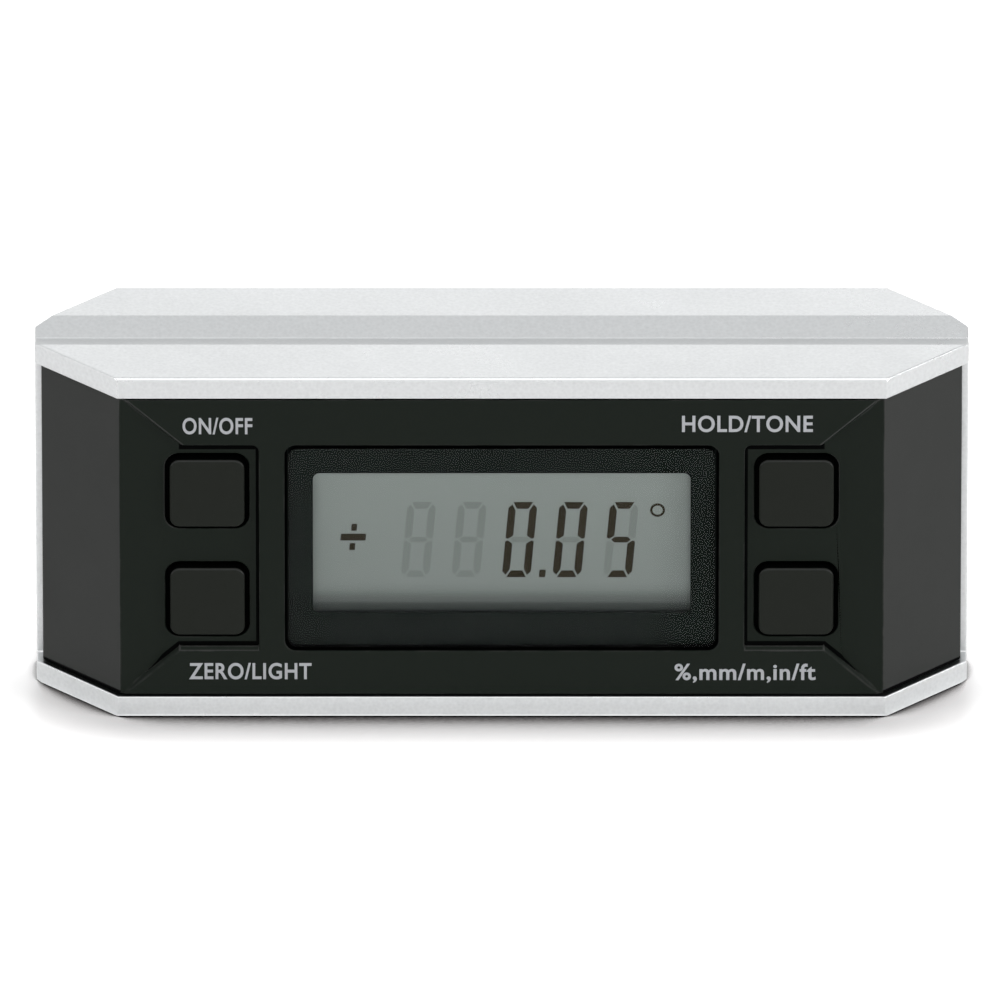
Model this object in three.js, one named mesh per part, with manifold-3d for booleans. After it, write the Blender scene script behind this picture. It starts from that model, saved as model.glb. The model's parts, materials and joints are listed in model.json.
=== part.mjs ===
import * as THREE from "three";
import { mergeVertices } from "three/addons/utils/BufferGeometryUtils.js";
import Module from "manifold-3d";

// Digital inclinometer with a V-grooved aluminium frame and a black housing.
// Millimetres: X along the length, Y from front to back, Z up.
// The origin is the middle of the underside.

// Aluminium frame
const frameLength = 150;
const frameDepth = 33;
const frameHeight = 61;
const cornerCutAlong = 13.3;
const cornerCutDeep = 12.8;
const plateThickness = 3.65;
const plateEdgeBevel = 0.4;
const grooveSetback = 12.2;
const grooveWidth = 10.4;
const grooveDepth = 1.45;
const sideWallThickness = 3;
const sideWallDepth = 4.2;

// Black housing shells inside the frame
const faceRecess = 0.4;
const cornerRecess = 0.7;
const sideWallReveal = 1.05;
const faceWall = 3;
const shellWall = 2;
const plateGap = 0.3;
const sideWallGap = 0.15;
const shellJointGap = 0.2;

// Front panel, from the housing's edges inwards: margins, window and its border
const panelTopMargin = 8.25;
const panelBottomMargin = 7.85;
const panelBridge = 4.15;
const lensThickness = 1.3;
const lensCornerRadius = 1.4;
const lensPocketGap = 0.4;
const lensSetback = 0.05;
const maskSide = 4.15;
const maskTop = 5.2;
const maskBottom = 5.9;
const maskThickness = 0.2;
const windowCornerRadius = 1.1;
const sightMargin = 1;

// Button recesses in the front face, flared towards the cut corners
const recessDepth = 1.2;
const recessEdgeDepth = 0.25;
const recessBevel = 0.65;
const recessCornerRadius = 1.1;
const recessKneeInset = 9.3;
const recessFlatMargin = 0.6;
const recessMargin = 2;
const recessSideMargin = 1.55;

// Push buttons and the switches behind them
const buttonInset = 13.8;
const buttonSpacing = 6;
const capCornerRadius = 1.6;
const capGap = 0.75;
const capFlange = 0.9;
const capFlangeThickness = 0.8;
const capFlangeGap = 0.1;
const capStemRadius = 1.5;
const buttonTravel = 0.5;
const switchWidth = 6;
const switchHeight = 3.5;
const plungerRadius = 1.75;
const plungerOut = 1.5;
const plungerIn = 0.8;
const plungerGap = 0.1;

// Display stack between the front face and the main board
const displayMargin = 2;
const displayGlass = 1.1;
const displayLedge = 3.5;
const stackGap = 0.1;
const diffuserThickness = 2.5;
const diffuserInset = 0.5;
const holderWall = 1.5;
const holderGap = 0.3;
const holderLip = 1.4;
const holderLedge = 2;
const contactStripThickness = 2;
const contactStripInset = 3;
const ledWidth = 2.8;
const ledHeight = 1;
const ledPitchShare = 0.3;

// Main board and what is soldered to it
const boardSideGap = 1.3;
const boardMargin = 2.05;
const boardThickness = 1.6;
const chipWidth = 10;
const chipHeight = 1.4;
const chipShift = 9.5;
const leadWidth = 0.35;
const leadLength = 1.1;
const leadThickness = 0.3;
const leadPitch = 0.95;
const solderGap = 0.1;
const crystalLength = 8;
const crystalWidth = 3.8;
const crystalHeight = 1.3;
const crystalDrop = 10;
const sensorRadius = 8;
const sensorHeight = 4.5;
const sensorCapRadius = 6;
const sensorCapHeight = 0.8;
const sensorRise = 7;
const buzzerRadius = 6;
const buzzerHeight = 5;
const buzzerHoleRadius = 0.9;
const buzzerDrop = 10;
const capacitorLength = 3.6;
const capacitorWidth = 2.4;
const capacitorHeight = 1.4;
const capacitorPitch = 6.5;
const capacitorRise = 13;

// Screws and the bosses that take them
const caseScrewInset = 4.1;
const caseScrewDrop = 4;
const caseScrewRadius = 1.25;
const caseScrewLength = 18;
const caseScrewHeadRadius = 2.4;
const caseScrewHeadHeight = 1.7;
const caseBossRadius = 3.2;
const caseCounterboreDepth = 2.4;
const caseCounterboreGap = 0.45;
const rearBossWall = 1.15;
const bossEmbed = 0.5;
const boardScrewShift = 3.3;
const boardScrewInset = 2.4;
const boardScrewRadius = 1;
const boardScrewLength = 6;
const boardScrewHeadRadius = 1.9;
const boardScrewHeadHeight = 1.2;
const boardBossRadius = 2.2;
const screwBoreGap = 0.1;
const seatGap = 0.05;
const screwHoleGap = 0.2;
const screwSlotWidth = 0.6;
const screwSlotShare = 0.7;
const screwSlotDepthShare = 0.5;
const screwCrownShare = 0.72;

// Battery bay in the rear cover
const cellLength = 44.5;
const cellRadius = 5.25;
const cellNubRadius = 1.9;
const cellNubLength = 0.8;
const cellPitch = 11.2;
const cellClearance = 0.2;
const cellSideClearance = 0.75;
const bayCornerInset = 5.5;
const bayWall = 1.3;
const bayRibWidth = 1.4;
const bayRibHeight = 2;
const contactThickness = 0.4;
const contactHalfWidth = 4.4;
const contactInset = 1;
const contactGap = 0.1;
const tabWidth = 2;
const tabOut = 1.6;
const tabRise = 1.6;
const tabSlotGap = 0.25;
const springLength = 5.6;
const springBaseRadius = 3.3;
const springTipRadius = 2.2;
const springWireRadius = 0.25;
const wireRadius = 0.6;
const wireBendRadius = 2.5;
const wireLead = 1.2;

// Sliding battery door
const doorThickness = 1.8;
const doorOverlap = 2.6;
const doorRest = 1.6;
const doorTongue = 1;
const doorTongueThickness = 0.9;
const doorGap = 0.2;
const padFloor = 1.5;
const padSide = 1.6;
const gripSlotWidth = 0.9;
const gripSlotDepth = 0.5;
const gripSlotLength = 14;
const gripSlotPitch = 2.2;
const gripInset = 5;
const arrowLength = 4;
const arrowWidth = 7;
const arrowInset = 8;

// Counts of steps, copies and turns
const cornerSteps = 5;
const roundSteps = 24;
const smallRoundSteps = 16;
const gripSlots = 5;
const leadsPerSide = 8;
const ledCount = 3;
const capacitorCount = 4;
const springCurls = 4;
const springStepsPerCurl = 8;
const springSides = 5;
const wireSides = 8;
const wireSteps = 10;

// One overrun lets every cut run past the faces that it opens
const cutOverrun = 1;

// Depths behind the front plane of the frame, turned into places along Y
const frameFront = -frameDepth / 2;
const shellFront = frameFront + faceRecess;
const shellRear = -shellFront;
const faceInner = shellFront + faceWall;
const recessFloor = shellFront + recessDepth;
const sideWallRear = frameDepth / 2 - cornerCutDeep;
const sideWallFront = sideWallRear - sideWallDepth;
const shellJoint = (sideWallFront + sideWallRear) / 2;
const lensFront = shellFront + lensSetback;
const lensRear = lensFront + lensThickness;
const maskRear = lensRear + seatGap + maskThickness;
const pocketFloor = maskRear + stackGap;
const displayFront = faceInner + stackGap;
const displayRear = displayFront + 2 * displayGlass;
const diffuserFront = displayRear + stackGap;
const diffuserRear = diffuserFront + diffuserThickness;
const ledgeFront = diffuserRear + stackGap;
const ledgeRear = ledgeFront + holderLip;
const boardFront = ledgeRear + stackGap;
const boardRear = boardFront + boardThickness;
const switchFront = boardFront - switchHeight;
const plungerFront = switchFront - plungerOut;
const doorFront = shellRear - doorThickness;
const channelFloor = doorFront - doorGap;
const cellAxisY = channelFloor - cellClearance - cellRadius;
const bayFloor = cellAxisY - cellRadius - cellClearance;
const tabY = bayFloor + tabRise;
const counterboreFloor = shellRear - caseCounterboreDepth;

// Heights along Z
const middleZ = frameHeight / 2;
const shellBottom = plateThickness + plateGap;
const shellTop = frameHeight - shellBottom;
const recessTop = shellTop - panelTopMargin;
const recessBottom = shellBottom + panelBottomMargin;
const panelZ = (recessTop + recessBottom) / 2;
const lensHeight = recessTop - recessBottom - 2 * lensPocketGap;
const windowHeight = lensHeight - maskTop - maskBottom;
const windowZ = panelZ + (maskBottom - maskTop) / 2;
const holeWidth = (recessTop - recessBottom - buttonSpacing) / 2 - recessMargin;
const capWidth = holeWidth - 2 * capGap;
const buttonPitch = holeWidth + buttonSpacing;
const boardHalfHeight = (shellTop - shellBottom) / 2 - shellWall - boardMargin;
const boardScrewRise = boardHalfHeight - boardScrewInset;
const caseScrewRise = (shellTop - shellBottom) / 2 - caseScrewDrop;

// Places along X, from the face's cut corner inwards
const frameEnd = frameLength / 2;
const shellWaist = frameEnd - sideWallThickness - plateGap;
const cavityEnd = shellWaist - shellWall;
const cornerCutLength = Math.hypot(cornerCutAlong, cornerCutDeep);
const faceCornerX = cornerX(faceRecess, cornerRecess);
const buttonX = faceCornerX - buttonInset;
const recessInnerX = buttonX - holeWidth / 2 - recessSideMargin;
const recessKneeX = faceCornerX - recessKneeInset;
const lensWidth = 2 * (recessInnerX - panelBridge - lensPocketGap);
const windowWidth = lensWidth - 2 * maskSide;
const caseScrewX = faceCornerX - caseScrewInset;
const boardScrewX = buttonX - boardScrewShift;
const boardHalfWidth = caseScrewX - caseBossRadius - boardSideGap;
const bayLength = 2 * contactThickness + springLength + 2 * contactGap + cellLength;
const bayFarX = faceCornerX - bayCornerInset;
const bayNearX = bayFarX - bayLength;
const chipX = bayNearX + chipShift;
const tabEndX = bayNearX - bayWall - tabOut;
const wireEndX = tabEndX - contactGap - wireLead - wireBendRadius;
const doorNearX = bayNearX - doorOverlap;
const bayHalfHeight = cellPitch / 2 + cellRadius + cellSideClearance;
const doorHalfHeight = bayHalfHeight + doorRest;
const tongueHalfHeight = doorHalfHeight + doorTongue;

// Display glass behind the window, with its contact ledge below
const sightWidth = windowWidth + 2 * sightMargin;
const sightHeight = windowHeight + 2 * sightMargin;
const displayHalfWidth = sightWidth / 2 + displayMargin;
const displayTop = windowZ + sightHeight / 2 + displayMargin;
const rearGlassBottom = windowZ - sightHeight / 2 - displayMargin;
const displayBottom = rearGlassBottom - displayLedge;

const buttons = [
  { name: "power", side: -1, row: 1 },
  { name: "zero", side: -1, row: -1 },
  { name: "hold", side: 1, row: 1 },
  { name: "unit", side: 1, row: -1 },
];

// Materials

function material(name, color, roughness, metalness, extra = {}) {
  return new THREE.MeshStandardMaterial({ name, color, roughness, metalness, flatShading: true, ...extra });
}

const finishes = {
  aluminium: () => material("satin_aluminium", 0xe3e5e6, 0.35, 0.9),
  shell: () => material("black_plastic", 0x1f2420, 0.5, 0),
  cap: () => material("black_button_plastic", 0x272926, 0.45, 0),
  lens: () => material("clear_window", 0xdfe6e2, 0.05, 0, { transparent: true, opacity: 0.3 }),
  mask: () => material("black_window_print", 0x171b1a, 0.2, 0),
  display: () => material("display_glass", 0x7c8480, 0.3, 0),
  diffuser: () => material("milky_diffuser", 0xe8ecea, 0.6, 0),
  holder: () => material("white_holder_plastic", 0xd8d8d2, 0.6, 0),
  strip: () => material("contact_rubber", 0x4a4a4c, 0.8, 0),
  board: () => material("green_board", 0x1f5a38, 0.5, 0),
  chip: () => material("black_epoxy", 0x1b1b1c, 0.55, 0),
  led: () => material("led_body", 0xf2e9b8, 0.35, 0),
  tin: () => material("tinned_metal", 0xb9bcc0, 0.3, 1),
  nickel: () => material("nickel_plate", 0xc2c4c4, 0.25, 1),
  switchBody: () => material("switch_plastic", 0x2c2c30, 0.6, 0),
  plunger: () => material("switch_plunger", 0x8a2f26, 0.5, 0),
  cell: () => material("battery_sleeve", 0x33475c, 0.35, 0.3),
  redWire: () => material("red_wire", 0xa82a22, 0.5, 0),
  blackWire: () => material("black_wire", 0x202022, 0.5, 0),
  screw: () => material("black_screw_steel", 0x3a3c3f, 0.35, 0.9),
};

// Solids from three.js geometries, joined and cut with manifold

const wasm = await Module();
wasm.setup();

function toSolid(geometry) {
  const bare = geometry.clone();
  bare.deleteAttribute("normal");
  bare.deleteAttribute("uv");
  const merged = mergeVertices(bare);
  const index = merged.getIndex().array;
  const corners = [];
  for (let i = 0; i < index.length; i += 3) {
    const [a, b, c] = [index[i], index[i + 1], index[i + 2]];
    if (a !== b && b !== c && c !== a) corners.push(a, b, c);
  }
  return new wasm.Manifold(new wasm.Mesh({
    numProp: 3,
    vertProperties: new Float32Array(merged.getAttribute("position").array),
    triVerts: new Uint32Array(corners),
  }));
}

function toGeometry(solid) {
  const mesh = solid.getMesh();
  const geometry = new THREE.BufferGeometry();
  geometry.setAttribute("position", new THREE.BufferAttribute(mesh.vertProperties, 3));
  geometry.setIndex(new THREE.BufferAttribute(mesh.triVerts, 1));
  geometry.computeVertexNormals();
  return geometry;
}

function joined(solids) {
  return solids.reduce((whole, solid) => whole.add(solid));
}

function cutBy(solid, cutters) {
  return cutters.reduce((rest, cutter) => rest.subtract(cutter), solid);
}

function polygon(points) {
  return new THREE.Shape(points.map(([u, v]) => new THREE.Vector2(u, v)));
}

function roundedRectangle(centreU, centreV, width, height, radius) {
  const right = centreU + width / 2 - radius;
  const left = centreU - width / 2 + radius;
  const top = centreV + height / 2 - radius;
  const bottom = centreV - height / 2 + radius;
  const shape = new THREE.Shape();
  shape.absarc(right, bottom, radius, -Math.PI / 2, 0);
  shape.absarc(right, top, radius, 0, Math.PI / 2);
  shape.absarc(left, top, radius, Math.PI / 2, Math.PI);
  shape.absarc(left, bottom, radius, Math.PI, 1.5 * Math.PI);
  return shape;
}

function extruded(shape, depth) {
  return new THREE.ExtrudeGeometry(shape, { depth, bevelEnabled: false, curveSegments: cornerSteps });
}

const xAxis = new THREE.Vector3(1, 0, 0);
const yAxis = new THREE.Vector3(0, 1, 0);
const zAxis = new THREE.Vector3(0, 0, 1);

// A plan in X and Y carried up Z
function prismZ(shape, low, high) {
  return toSolid(extruded(shape, high - low).translate(0, 0, low));
}

// An elevation in X and Z carried along Y
function prismY(shape, low, high) {
  const turn = new THREE.Matrix4().makeBasis(xAxis, zAxis, yAxis.clone().negate());
  return toSolid(extruded(shape, high - low).applyMatrix4(turn).translate(0, high, 0));
}

// A side view in Y and Z carried along X
function prismX(shape, low, high) {
  const turn = new THREE.Matrix4().makeBasis(yAxis, zAxis, xAxis);
  return toSolid(extruded(shape, high - low).applyMatrix4(turn).translate(low, 0, 0));
}

function block([x0, x1], [y0, y1], [z0, z1]) {
  const box = new THREE.BoxGeometry(x1 - x0, y1 - y0, z1 - z0);
  return toSolid(box.translate((x0 + x1) / 2, (y0 + y1) / 2, (z0 + z1) / 2));
}

// A round bar along Y, on the axis through x and z
function barY(radius, x, z, [y0, y1], steps = roundSteps) {
  const bar = new THREE.CylinderGeometry(radius, radius, y1 - y0, steps);
  return toSolid(bar.translate(x, (y0 + y1) / 2, z));
}

// Two outlines with the same number of points, joined by straight walls along Y
function taperY(lowPoints, low, highPoints, high) {
  const clockwise = THREE.ShapeUtils.isClockWise(lowPoints.map(([x, y]) => ({ x, y })));
  const ordered = (points) => (clockwise ? [...points].reverse() : points);
  const ring = (points, y) => ordered(points).flatMap(([x, z]) => [x, y, z]);
  const positions = [...ring(lowPoints, low), ...ring(highPoints, high)];
  const count = lowPoints.length;
  const contour = ordered(lowPoints).map(([x, z]) => new THREE.Vector2(x, z));
  const caps = THREE.ShapeUtils.triangulateShape(contour, []);
  const indices = caps.flat();
  indices.push(...caps.flatMap(([a, b, c]) => [a + count, c + count, b + count]));
  for (let i = 0; i < count; i += 1) {
    const j = (i + 1) % count;
    indices.push(i, i + count, j, j, i + count, j + count);
  }
  const geometry = new THREE.BufferGeometry();
  geometry.setAttribute("position", new THREE.Float32BufferAttribute(positions, 3));
  geometry.setIndex(indices);
  return toSolid(geometry);
}

// Plan of the frame, and of all that follows its cut corners

// Where a plane parallel to a corner cut, inset from it, crosses a given depth
function cornerX(depth, inset) {
  const along = (depth * cornerCutAlong - inset * cornerCutLength) / cornerCutDeep;
  return frameEnd - cornerCutAlong + along;
}

// How far behind the front plane the same plane lies at a given x
function cornerDepth(x, inset) {
  const past = x - (frameEnd - cornerCutAlong);
  return (past * cornerCutDeep + inset * cornerCutLength) / cornerCutAlong;
}

function octagonPlan(front, rear, cut, end) {
  const endX = frameEnd - end;
  const endY = frameDepth / 2 - cornerDepth(endX, cut);
  const half = [
    [cornerX(front, cut), -frameDepth / 2 + front],
    [endX, -endY],
    [endX, endY],
    [cornerX(rear, cut), frameDepth / 2 - rear],
  ];
  const mirrored = half.map(([x, y]) => [-x, y]).reverse();
  return polygon([...half, ...mirrored]);
}

const farX = frameEnd + cutOverrun;
const farY = frameDepth / 2 + cutOverrun;
const wholeX = [-farX, farX];
const wholeZ = [-cutOverrun, frameHeight + cutOverrun];

// Frame: two grooved plates joined by two side walls, one piece of aluminium

function sideWalls(innerGap, endGap) {
  const inner = frameEnd - sideWallThickness - innerGap;
  const depth = [sideWallFront - endGap, sideWallRear + endGap];
  return [block([inner, farX], depth, wholeZ), block([-farX, -inner], depth, wholeZ)];
}

function grooveCutter(surface, inward) {
  const lipFront = frameFront + grooveSetback;
  const lipRear = lipFront + grooveWidth;
  const outside = surface - inward * cutOverrun;
  return prismX(polygon([
    [lipFront, surface],
    [(lipFront + lipRear) / 2, surface + inward * grooveDepth],
    [lipRear, surface],
    [lipRear, outside],
    [lipFront, outside],
  ]), -farX, farX);
}

function edgeBevelCutter(sideY, surface, inward) {
  const outsideY = sideY * (frameDepth / 2 + cutOverrun);
  const outsideZ = surface - inward * cutOverrun;
  return prismX(polygon([
    [outsideY, outsideZ],
    [outsideY, surface + inward * (plateEdgeBevel + cutOverrun)],
    [sideY * (frameDepth / 2 - plateEdgeBevel - cutOverrun), outsideZ],
  ]), -farX, farX);
}

function makeFrame() {
  const body = prismZ(octagonPlan(0, 0, 0, 0), 0, frameHeight);
  const between = block(wholeX, [-farY, farY], [plateThickness, frameHeight - plateThickness]);
  const cutters = [cutBy(between, sideWalls(0, 0))];
  for (const [surface, inward] of [[0, 1], [frameHeight, -1]]) {
    cutters.push(grooveCutter(surface, inward));
    cutters.push(edgeBevelCutter(-1, surface, inward), edgeBevelCutter(1, surface, inward));
  }
  return cutBy(body, cutters);
}

// Both shells are cut from one block that fills the frame

function shellBlock() {
  const plan = octagonPlan(faceRecess, faceRecess, cornerRecess, sideWallReveal);
  return cutBy(prismZ(plan, shellBottom, shellTop), sideWalls(plateGap, sideWallGap));
}

function shellCavity(frontWall, rearWall, [y0, y1]) {
  const end = frameEnd - cavityEnd;
  const plan = octagonPlan(faceRecess + frontWall, faceRecess + rearWall, cornerRecess + shellWall, end);
  const cavity = prismZ(plan, shellBottom + shellWall, shellTop - shellWall);
  return cavity.intersect(block(wholeX, [y0, y1], wholeZ));
}

// Corners of a rectangle of screws about the middle height
function screwPlaces(x, rise) {
  const places = [];
  for (const sideX of [-1, 1]) {
    for (const sideZ of [-1, 1]) places.push([sideX * x, middleZ + sideZ * rise]);
  }
  return places;
}

const casePlaces = screwPlaces(caseScrewX, caseScrewRise);
const boardPlaces = screwPlaces(boardScrewX, boardScrewRise);

function buttonPlace({ side, row }) {
  return [side * buttonX, panelZ + row * buttonPitch / 2];
}

// Outline of a button recess on the right, open towards the cut corner of the housing
function recessOutline(bevel) {
  const slope = (shellTop - recessTop) / (faceCornerX - recessKneeX);
  const rise = (farX - recessKneeX) * slope;
  const arcCentre = [recessInnerX + recessCornerRadius, recessTop - recessCornerRadius];
  const arc = [];
  for (let i = 0; i <= cornerSteps; i += 1) {
    const angle = Math.PI * (1 - i / cornerSteps / 2);
    arc.push([
      arcCentre[0] + recessCornerRadius * Math.cos(angle),
      arcCentre[1] + recessCornerRadius * Math.sin(angle),
    ]);
  }
  return [
    [recessInnerX, recessBottom + recessBevel - bevel],
    ...arc,
    [recessKneeX - bevel / slope, recessTop],
    [farX, recessTop + rise + bevel],
    [farX, recessBottom + recessBevel - rise - bevel],
    [recessKneeX, recessBottom + recessBevel - bevel],
  ];
}

function buttonRecess(side) {
  const sided = (points) => points.map(([x, z]) => [side * x, z]);
  const inner = sided(recessOutline(0));
  const outer = sided(recessOutline(recessBevel));
  const spread = sided(recessOutline(recessBevel + cutOverrun));
  const mouthDepth = recessDepth / 2;
  const walls = taperY(inner, shellFront + mouthDepth - cutOverrun, inner, recessFloor + cutOverrun);
  const mouth = taperY(outer, shellFront, inner, shellFront + mouthDepth);
  const above = taperY(spread, shellFront - cutOverrun, outer, shellFront);
  const flatEnd = buttonX + capWidth / 2 + capGap + recessFlatMargin;
  const floor = prismZ(polygon([
    [side * recessInnerX, shellFront - 2 * cutOverrun],
    [side * recessInnerX, recessFloor],
    [side * flatEnd, recessFloor],
    [side * faceCornerX, shellFront + recessEdgeDepth],
    [side * farX, shellFront + recessEdgeDepth],
    [side * farX, shellFront - 2 * cutOverrun],
  ]), -frameHeight, 2 * frameHeight);
  return joined([walls, mouth, above]).intersect(floor);
}

function makeFrontHousing() {
  const half = shellBlock().intersect(block(wholeX, [-farY, shellJoint - shellJointGap / 2], wholeZ));
  const hollow = cutBy(half, [shellCavity(faceWall, 0, [-farY, farY])]);
  const bossBase = faceInner - bossEmbed;
  const room = prismZ(octagonPlan(faceRecess, faceRecess, cornerRecess, 0), shellBottom, shellTop);
  const caseBosses = casePlaces.map(([x, z]) => {
    return barY(caseBossRadius, x, z, [bossBase, shellJoint]).intersect(room);
  });
  const boardBosses = boardPlaces.map(([x, z]) => {
    return barY(boardBossRadius, x, z, [bossBase, boardFront - stackGap]);
  });
  const pocketWidth = lensWidth + 2 * lensPocketGap;
  const pocketHeight = lensHeight + 2 * lensPocketGap;
  const pocketRadius = lensCornerRadius + lensPocketGap;
  const pocket = roundedRectangle(0, panelZ, pocketWidth, pocketHeight, pocketRadius);
  const sight = roundedRectangle(0, windowZ, sightWidth, sightHeight, windowCornerRadius);
  const through = [shellFront - cutOverrun, faceInner + cutOverrun];
  const cutters = [
    prismY(pocket, shellFront - cutOverrun, pocketFloor),
    prismY(sight, ...through),
    buttonRecess(-1),
    buttonRecess(1),
    ...buttons.map((button) => {
      const hole = roundedRectangle(...buttonPlace(button), holeWidth, holeWidth, capCornerRadius + capGap);
      return prismY(hole, ...through);
    }),
    ...casePlaces.map(([x, z]) => {
      const depth = [counterboreFloor - caseScrewLength - cutOverrun, shellJoint + cutOverrun];
      return barY(caseScrewRadius + screwBoreGap, x, z, depth);
    }),
    ...boardPlaces.map(([x, z]) => {
      const depth = [boardRear - boardScrewLength - cutOverrun / 2, boardFront + cutOverrun];
      return barY(boardScrewRadius + screwBoreGap, x, z, depth);
    }),
  ];
  return cutBy(joined([hollow, ...caseBosses, ...boardBosses]), cutters);
}

// Rear cover with the battery bay and the door's channel

function zAround(half) {
  return [middleZ - half, middleZ + half];
}

function batteryBay() {
  const outerX = [bayNearX - bayWall, bayFarX + bayWall];
  const outer = block(outerX, [bayFloor - bayWall, channelFloor], zAround(bayHalfHeight + bayWall));
  const padX = [doorNearX - doorGap - padSide, farX];
  const padHalfHeight = tongueHalfHeight + doorGap + padSide;
  const pad = block(padX, [channelFloor - padFloor, shellRear], zAround(padHalfHeight));
  return joined([outer, pad.intersect(shellBlock())]);
}

function bayHollow() {
  const inner = block([bayNearX, bayFarX], [bayFloor, shellRear], zAround(bayHalfHeight));
  const ribX = [bayNearX + springLength, bayFarX - springLength];
  const ribY = [bayFloor - cutOverrun, bayFloor + bayRibHeight];
  return cutBy(inner, [block(ribX, ribY, zAround(bayRibWidth / 2))]);
}

function doorChannel() {
  const x = [doorNearX - doorGap, farX];
  const grooveY = [channelFloor, doorFront + doorTongueThickness + doorGap];
  const groove = block(x, grooveY, zAround(tongueHalfHeight + doorGap));
  return joined([groove, block(x, [channelFloor, farY], zAround(doorHalfHeight + doorGap))]);
}

function tabSlots() {
  return [-1, 1].map((row) => {
    const z = middleZ + row * cellPitch / 2;
    return block(
      [bayNearX - bayWall - cutOverrun, bayNearX + cutOverrun],
      [tabY - tabSlotGap, tabY + contactThickness + tabSlotGap],
      [z - tabWidth / 2 - tabSlotGap, z + tabWidth / 2 + tabSlotGap],
    );
  });
}

function makeRearCover() {
  const half = shellBlock().intersect(block(wholeX, [shellJoint + shellJointGap / 2, farY], wholeZ));
  const hollow = cutBy(half, [shellCavity(0, shellWall, [-farY, farY])]);
  const headRadius = caseScrewHeadRadius + caseCounterboreGap;
  const room = shellBlock();
  const bosses = casePlaces.map(([x, z]) => {
    const depth = [shellJoint + shellJointGap, shellRear - bossEmbed];
    return barY(headRadius + rearBossWall, x, z, depth).intersect(room);
  });
  const cutters = [bayHollow(), doorChannel(), ...tabSlots()];
  for (const [x, z] of casePlaces) {
    cutters.push(barY(headRadius, x, z, [counterboreFloor, farY]));
    cutters.push(barY(caseScrewRadius + screwHoleGap, x, z, [shellJoint - cutOverrun, farY]));
  }
  return cutBy(joined([hollow, batteryBay(), ...bosses]), cutters);
}

function makeBatteryDoor() {
  const x = [doorNearX, farX];
  const slab = block(x, [doorFront, shellRear], zAround(doorHalfHeight));
  const tongues = block(x, [doorFront, doorFront + doorTongueThickness], zAround(tongueHalfHeight));
  const plan = octagonPlan(faceRecess, faceRecess, cornerRecess, 0);
  const body = joined([slab, tongues]).intersect(prismZ(plan, 0, frameHeight));
  const slotY = [shellRear - gripSlotDepth, shellRear + cutOverrun];
  const firstX = faceCornerX - gripInset;
  const cutters = [];
  for (let i = 0; i < gripSlots; i += 1) {
    const slotX = firstX - i * gripSlotPitch;
    const slotSides = [slotX - gripSlotWidth / 2, slotX + gripSlotWidth / 2];
    cutters.push(block(slotSides, slotY, zAround(gripSlotLength / 2)));
  }
  const arrowTip = firstX - (gripSlots - 1) * gripSlotPitch - arrowInset;
  cutters.push(prismY(polygon([
    [arrowTip, middleZ],
    [arrowTip - arrowLength, middleZ + arrowWidth / 2],
    [arrowTip - arrowLength, middleZ - arrowWidth / 2],
  ]), ...slotY));
  return cutBy(body, cutters);
}

// Window, its printed border and the display stack

function makeWindow() {
  return prismY(roundedRectangle(0, panelZ, lensWidth, lensHeight, lensCornerRadius), lensFront, lensRear);
}

function makeWindowMask() {
  const outline = roundedRectangle(0, panelZ, lensWidth, lensHeight, lensCornerRadius);
  outline.holes.push(roundedRectangle(0, windowZ, windowWidth, windowHeight, windowCornerRadius));
  return prismY(outline, maskRear - maskThickness, maskRear);
}

function makeDisplay() {
  const x = [-displayHalfWidth, displayHalfWidth];
  const frontGlass = block(x, [displayFront, displayRear], [displayBottom, displayTop]);
  const ledge = block(wholeX, [displayFront + displayGlass, farY], [0, rearGlassBottom]);
  return cutBy(frontGlass, [ledge]);
}

function makeDiffuser() {
  const half = displayHalfWidth - diffuserInset;
  return block([-half, half], [diffuserFront, diffuserRear], [rearGlassBottom, displayTop - diffuserInset]);
}

function makeHolder() {
  const innerHalf = displayHalfWidth + holderGap;
  const outerHalf = innerHalf + holderWall;
  const innerZ = [displayBottom - holderGap, displayTop + holderGap];
  const outerZ = [innerZ[0] - holderWall, innerZ[1] + holderWall];
  const ring = block([-outerHalf, outerHalf], [displayFront + stackGap, ledgeRear], outerZ);
  const ledgeHalf = displayHalfWidth - diffuserInset - holderLedge;
  const throughZ = [innerZ[0], displayTop - diffuserInset - holderLedge];
  return cutBy(ring, [
    block([-innerHalf, innerHalf], [-farY, ledgeFront], innerZ),
    block([-ledgeHalf, ledgeHalf], [-farY, farY], throughZ),
  ]);
}

function makeContactStrip() {
  const half = displayHalfWidth - contactStripInset;
  const low = displayBottom + (displayLedge - contactStripThickness) / 2;
  const y = [displayFront + displayGlass + stackGap, boardFront - stackGap];
  return block([-half, half], y, [low, low + contactStripThickness]);
}

// One lamp about the middle of its row
function makeLed() {
  const half = ledWidth / 2;
  return block([-half, half], [boardFront - seatGap - ledHeight, boardFront - seatGap], [-half, half]);
}

// Main board and its components, all on the board's rear face

function makeBoard() {
  const board = block([-boardHalfWidth, boardHalfWidth], [boardFront, boardRear], zAround(boardHalfHeight));
  return cutBy(board, boardPlaces.map(([x, z]) => {
    return barY(boardScrewRadius + screwHoleGap, x, z, [boardFront - cutOverrun, boardRear + cutOverrun]);
  }));
}

const partBase = boardRear + solderGap;

function makeChip() {
  const half = chipWidth / 2;
  const body = block([chipX - half, chipX + half], [partBase, partBase + chipHeight], zAround(half));
  const reach = half + leadLength;
  const depth = [partBase, partBase + leadThickness];
  const leads = [];
  for (let i = 0; i < leadsPerSide; i += 1) {
    const at = (i - (leadsPerSide - 1) / 2) * leadPitch;
    const across = [at - leadWidth / 2, at + leadWidth / 2];
    leads.push(block(across.map((v) => v + chipX), depth, zAround(reach)));
    leads.push(block([chipX - reach, chipX + reach], depth, across.map((v) => v + middleZ)));
  }
  return joined([body, ...leads]);
}

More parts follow.
